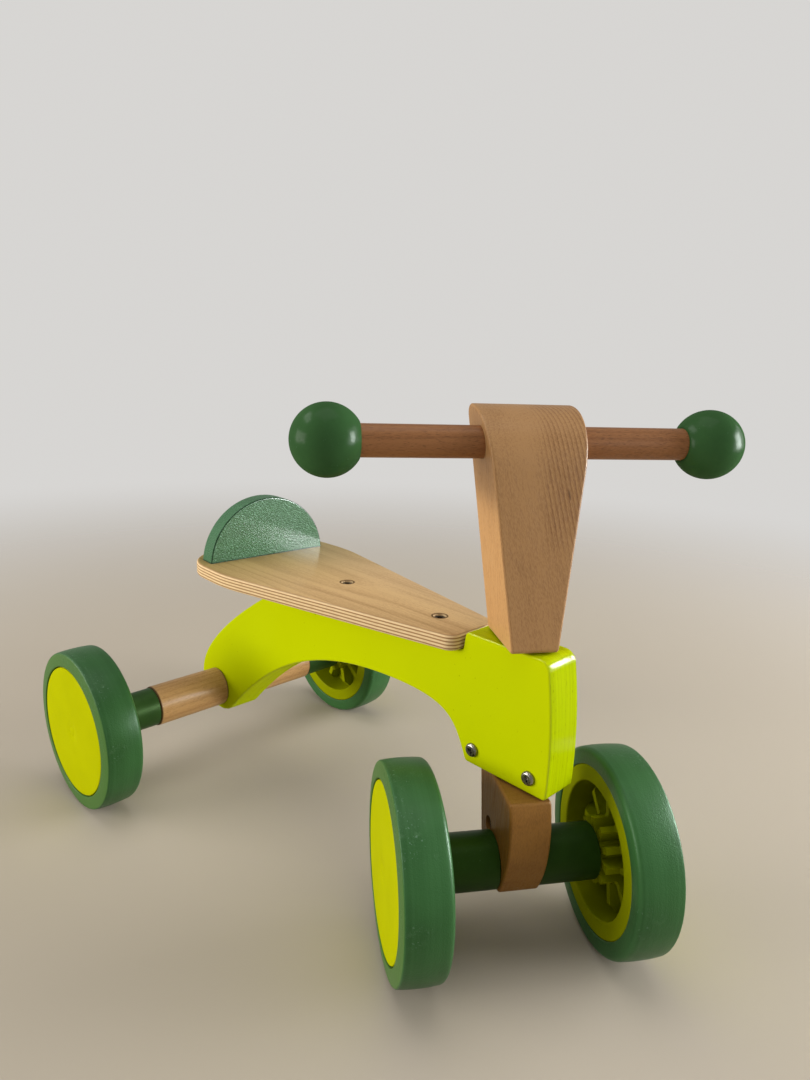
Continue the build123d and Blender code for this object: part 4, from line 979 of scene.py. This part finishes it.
class RIDEON_OT_woodwork(Operator):
    """Gives the post, fork block, handlebar, rear tubes and seat their woods"""
    bl_idname = "rideon.woodwork"
    bl_label = "Woodwork"

    def execute(self, context):
        tones = context.scene.rideon_colours
        axis = Vector(joint("steering")["pos_m"])
        turn = bar_turn()
        left = Vector((cos(turn), sin(turn), 0.0))
        back = Vector((-sin(turn), cos(turn), 0.0))
        pith = axis - left * PITH_ASIDE + back * PITH_BEHIND
        post = make_wood(
            "post_beech_finish", (pith.x, pith.y, 0.25), (radians(1), radians(-15), turn),
            (tones.beech_pale, tones.beech_ripe, PORE_BROWN), spacing=0.0030, bend=0.0050, ring=0.30,
            fibre=0.85, pores=0.12, flecks=0.42, gloss=0.10)
        add_flame(post, axis, turn)
        dress("handlebar_post", post)
        fork = make_wood(
            "fork_beech_finish", (axis.x + 0.05, axis.y + 0.10, 0.10), (radians(2), radians(3), turn),
            (tones.fork_pale, tones.fork_ripe, PORE_BROWN), spacing=0.0052, bend=0.006, ring=0.40,
            fibre=0.7, pores=0.30, flecks=0.5, gloss=0.06)
        dress("fork_block", fork)
        bar_low, bar_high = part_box("handlebar")
        bar = (bar_low + bar_high) / 2
        dowel = make_wood(
            "handlebar_dowel_finish", (bar.x, bar.y + 0.02, bar.z + 0.012), (0.0, radians(90), turn),
            (tones.dowel_pale, tones.dowel_ripe, (0.075, 0.030, 0.014)), spacing=0.0042, bend=0.004,
            ring=0.55, fibre=0.7, pores=0.5, flecks=0.4, gloss=0.12)
        dress("handlebar", dowel)
        for side in SIDES:
            low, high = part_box("rear_tube_" + side)
            middle = (low + high) / 2
            tube = make_wood(
                "rear_tube_finish_" + side, (middle.x, middle.y + 0.018, middle.z + 0.03),
                (0.0, radians(90), 0.0), (tones.tube_pale, tones.tube_ripe, PORE_BROWN), spacing=0.0048,
                bend=0.005, ring=0.60, fibre=0.75, pores=0.35, flecks=0.4, gloss=0.12)
            shade_ends(tube, low.x, high.x)
            dress("rear_tube_" + side, tube)
        dress("seat_board", make_plywood(tones))
        return {"FINISHED"}


def make_plastic(name, base):
    """Dark green plastic with a little dust."""
    return make_moulded(
        name, base, tone=45.0, peel=600.0, shade=0.75, speck=800.0, limit=0.72, patch=40.0,
        wear="Specks", share=0.35, tint=(0.080, 0.150, 0.080), rough=(0.36, 0.50), strength=0.12,
        depth=0.0003, Specular_IOR_Level=0.15, Specular_Tint=(0.6, 1.0, 0.4, 1.0))


def make_black_steel():
    """Black-oxide screw steel with rubbed high spots."""
    finish = Finish("black_steel_finish", Metallic=0.8)
    rub = finish.noise(finish.place(), 900.0, detail=3.0)
    tone = finish.blend(
        finish.span(rub, 0.5, 0.7), opaque((0.020, 0.018, 0.016)), opaque((0.10, 0.09, 0.08)))
    finish.feed(Base_Color=tone, Roughness=finish.span(rub, 0.3, 0.7, 0.35, 0.55))
    return finish


def make_plain(name, rgb, metal, rough):
    """Plain turned or moulded material with a slight tone shift."""
    finish = Finish(name, Metallic=metal)
    skin = finish.skin(finish.place(), rgb, tone=90.0, peel=800.0, shade=0.86)
    finish.feed(
        Base_Color=skin["Color"],
        Roughness=finish.span(skin["Height"], 0.3, 0.7, rough - 0.06, rough + 0.06))
    finish.bump(skin["Height"], 0.08, 0.0002)
    return finish


class RIDEON_OT_small_parts(Operator):
    """Gives collars, sleeves, screws, rods, bushes and inserts their finishes"""
    bl_idname = "rideon.small_parts"
    bl_label = "Small parts"

    def execute(self, context):
        tones = context.scene.rideon_colours
        sleeves = make_plastic("sleeve_green_finish", tones.dark_plastic)
        collars = make_plastic("collar_green_finish", tones.collar_plastic)
        for side in SIDES:
            dress("rear_collar_" + side, collars)
            dress("front_sleeve_" + side, sleeves)
        steel = make_steel("bright_steel_finish")
        nylon = make_plain("nylon_finish", (0.025, 0.025, 0.024), 0.0, 0.45)
        brass = make_plain("brass_finish", (0.60, 0.40, 0.14), 1.0, 0.30)
        bushes = [wheel + "_bush" for wheel in WHEELS]
        for level in ("upper", "lower"):
            bushes += [level + "_steering_bush", level + "_thrust_washer"]
        hardware = [
            "steering_rod", "barrel_nut", "head_sleeve_nuts", "backrest_screws", "bar_lock_screw",
            "head_screws"]
        for axle in ("rear_axle", "front_axle"):
            hardware += [axle, axle + "_washers", axle + "_caps"]
        for finish, node_names in (
                (steel, hardware), (make_black_steel(), ["seat_screws"]), (nylon, bushes),
                (brass, ["seat_inserts", "post_insert"])):
            for node_name in node_names:
                dress(node_name, finish)
        return {"FINISHED"}


def make_floor(context, size, tone):
    """Round floor that fades out towards the backdrop."""
    bpy.ops.object.select_all(action="DESELECT")
    bpy.ops.mesh.primitive_circle_add(vertices=96, radius=size / 2, fill_type="NGON")
    floor = context.object
    floor.name = "floor"
    finish = Finish("floor_finish", Specular_IOR_Level=0.0, Roughness=0.7)
    place = finish.place()
    cloud = finish.span(finish.noise(place, 2.2, detail=3.0), 0.3, 0.7)
    finish.feed(Base_Color=finish.blend(cloud, opaque(tone), darker(tone, 0.985)))
    fade = finish.span(finish.measure("LENGTH", place), *(size * share for share in FLOOR_FADE))
    clear = finish.put("ShaderNodeBsdfTransparent").outputs[0]
    mix = finish.put("ShaderNodeMixShader", {0: fade, 1: finish.shader.outputs[0], 2: clear})
    finish.join(mix.outputs[0], finish.tree.nodes["Material Output"].inputs["Surface"])
    coat(floor, finish)


def make_world(context, backdrop):
    """Even light all round, with the plain backdrop where the camera looks past the floor."""
    world = bpy.data.worlds.new("studio")
    context.scene.world = world
    world.use_nodes = True
    nodes = Nodes(world.node_tree)
    nodes.tree.nodes.clear()
    light = nodes.put("ShaderNodeBackground", {"Color": (1.0, 0.99, 0.97, 1.0), "Strength": 0.40})
    seen = nodes.put("ShaderNodeBackground", {"Color": opaque(backdrop), "Strength": 1.0})
    path = nodes.put("ShaderNodeLightPath").outputs
    mix = nodes.put("ShaderNodeMixShader", {
        0: path["Is Camera Ray"], 1: light.outputs[0], 2: seen.outputs[0]})
    nodes.put("ShaderNodeOutputWorld", {"Surface": mix.outputs[0]})


def make_lamp(context, name, place, aim, width, height, power, tint, gloss_only):
    """Soft lamp that the camera doesn't see."""
    data = bpy.data.lights.new(name, "AREA")
    data.shape = "RECTANGLE"
    data.size = width
    data.size_y = height
    data.energy = power
    data.color = tint
    lamp = bpy.data.objects.new(name, data)
    context.scene.collection.objects.link(lamp)
    lamp.location = place
    lamp.rotation_euler = (Vector(aim) - Vector(place)).to_track_quat("-Z", "Y").to_euler()
    lamp.visible_camera = False
    lamp.visible_diffuse = not gloss_only


def make_camera(context, stage):
    """Camera that looks from where the photo was taken."""
    data = bpy.data.cameras.new("photo_camera")
    data.lens = stage.lens
    data.sensor_width = 36.0
    data.clip_start = 0.01
    camera = bpy.data.objects.new("photo_camera", data)
    context.scene.collection.objects.link(camera)
    turned = Matrix.Rotation(-stage.yaw, 4, "Z") @ Matrix.Rotation(pi / 2 - stage.pitch, 4, "X")
    turned = turned @ Matrix.Rotation(stage.roll, 4, "Z")
    camera.matrix_world = Matrix.Translation(stage.eye) @ turned
    context.scene.camera = camera


class RIDEON_OT_stage(Operator):
    """Sets the floor, the soft lamps, the world and the camera"""
    bl_idname = "rideon.stage"
    bl_label = "Stage"

    def execute(self, context):
        stage = context.scene.rideon_stage
        tones = context.scene.rideon_colours
        make_floor(context, stage.floor_size, tones.floor)
        make_world(context, tones.backdrop)
        for lamp in LAMPS:
            make_lamp(context, *lamp)
        make_camera(context, stage)
        context.scene.view_settings.view_transform = "Standard"
        return {"FINISHED"}


class RIDEON_PT_steps(Panel):
    """Steps of dressing the ride-on"""
    bl_idname = "RIDEON_PT_steps"
    bl_label = "Ride-on"
    bl_space_type = "VIEW_3D"
    bl_region_type = "UI"
    bl_category = "Ride-on"

    def draw(self, context):
        for step in STEPS:
            self.layout.operator(step.bl_idname)


STEPS = (
    RIDEON_OT_tyres,
    RIDEON_OT_discs,
    RIDEON_OT_knobs,
    RIDEON_OT_head_screws,
    RIDEON_OT_frame_paint,
    RIDEON_OT_woodwork,
    RIDEON_OT_small_parts,
    RIDEON_OT_stage,
)
CLASSES = (RideOnSizes, RideOnColours, RideOnStage) + STEPS + (RIDEON_PT_steps,)


def register():
    for made in CLASSES:
        bpy.utils.register_class(made)
    bpy.types.Scene.rideon_sizes = PointerProperty(type=RideOnSizes)
    bpy.types.Scene.rideon_colours = PointerProperty(type=RideOnColours)
    bpy.types.Scene.rideon_stage = PointerProperty(type=RideOnStage)


def unregister():
    del bpy.types.Scene.rideon_stage
    del bpy.types.Scene.rideon_colours
    del bpy.types.Scene.rideon_sizes
    for made in reversed(CLASSES):
        bpy.utils.unregister_class(made)


def main():
    register()
    make_grain_group()
    make_skin_group()
    make_marks_group()
    for step in STEPS:
        module, name = step.bl_idname.split(".")
        getattr(getattr(bpy.ops, module), name)()


if __name__ == "__main__":
    main()
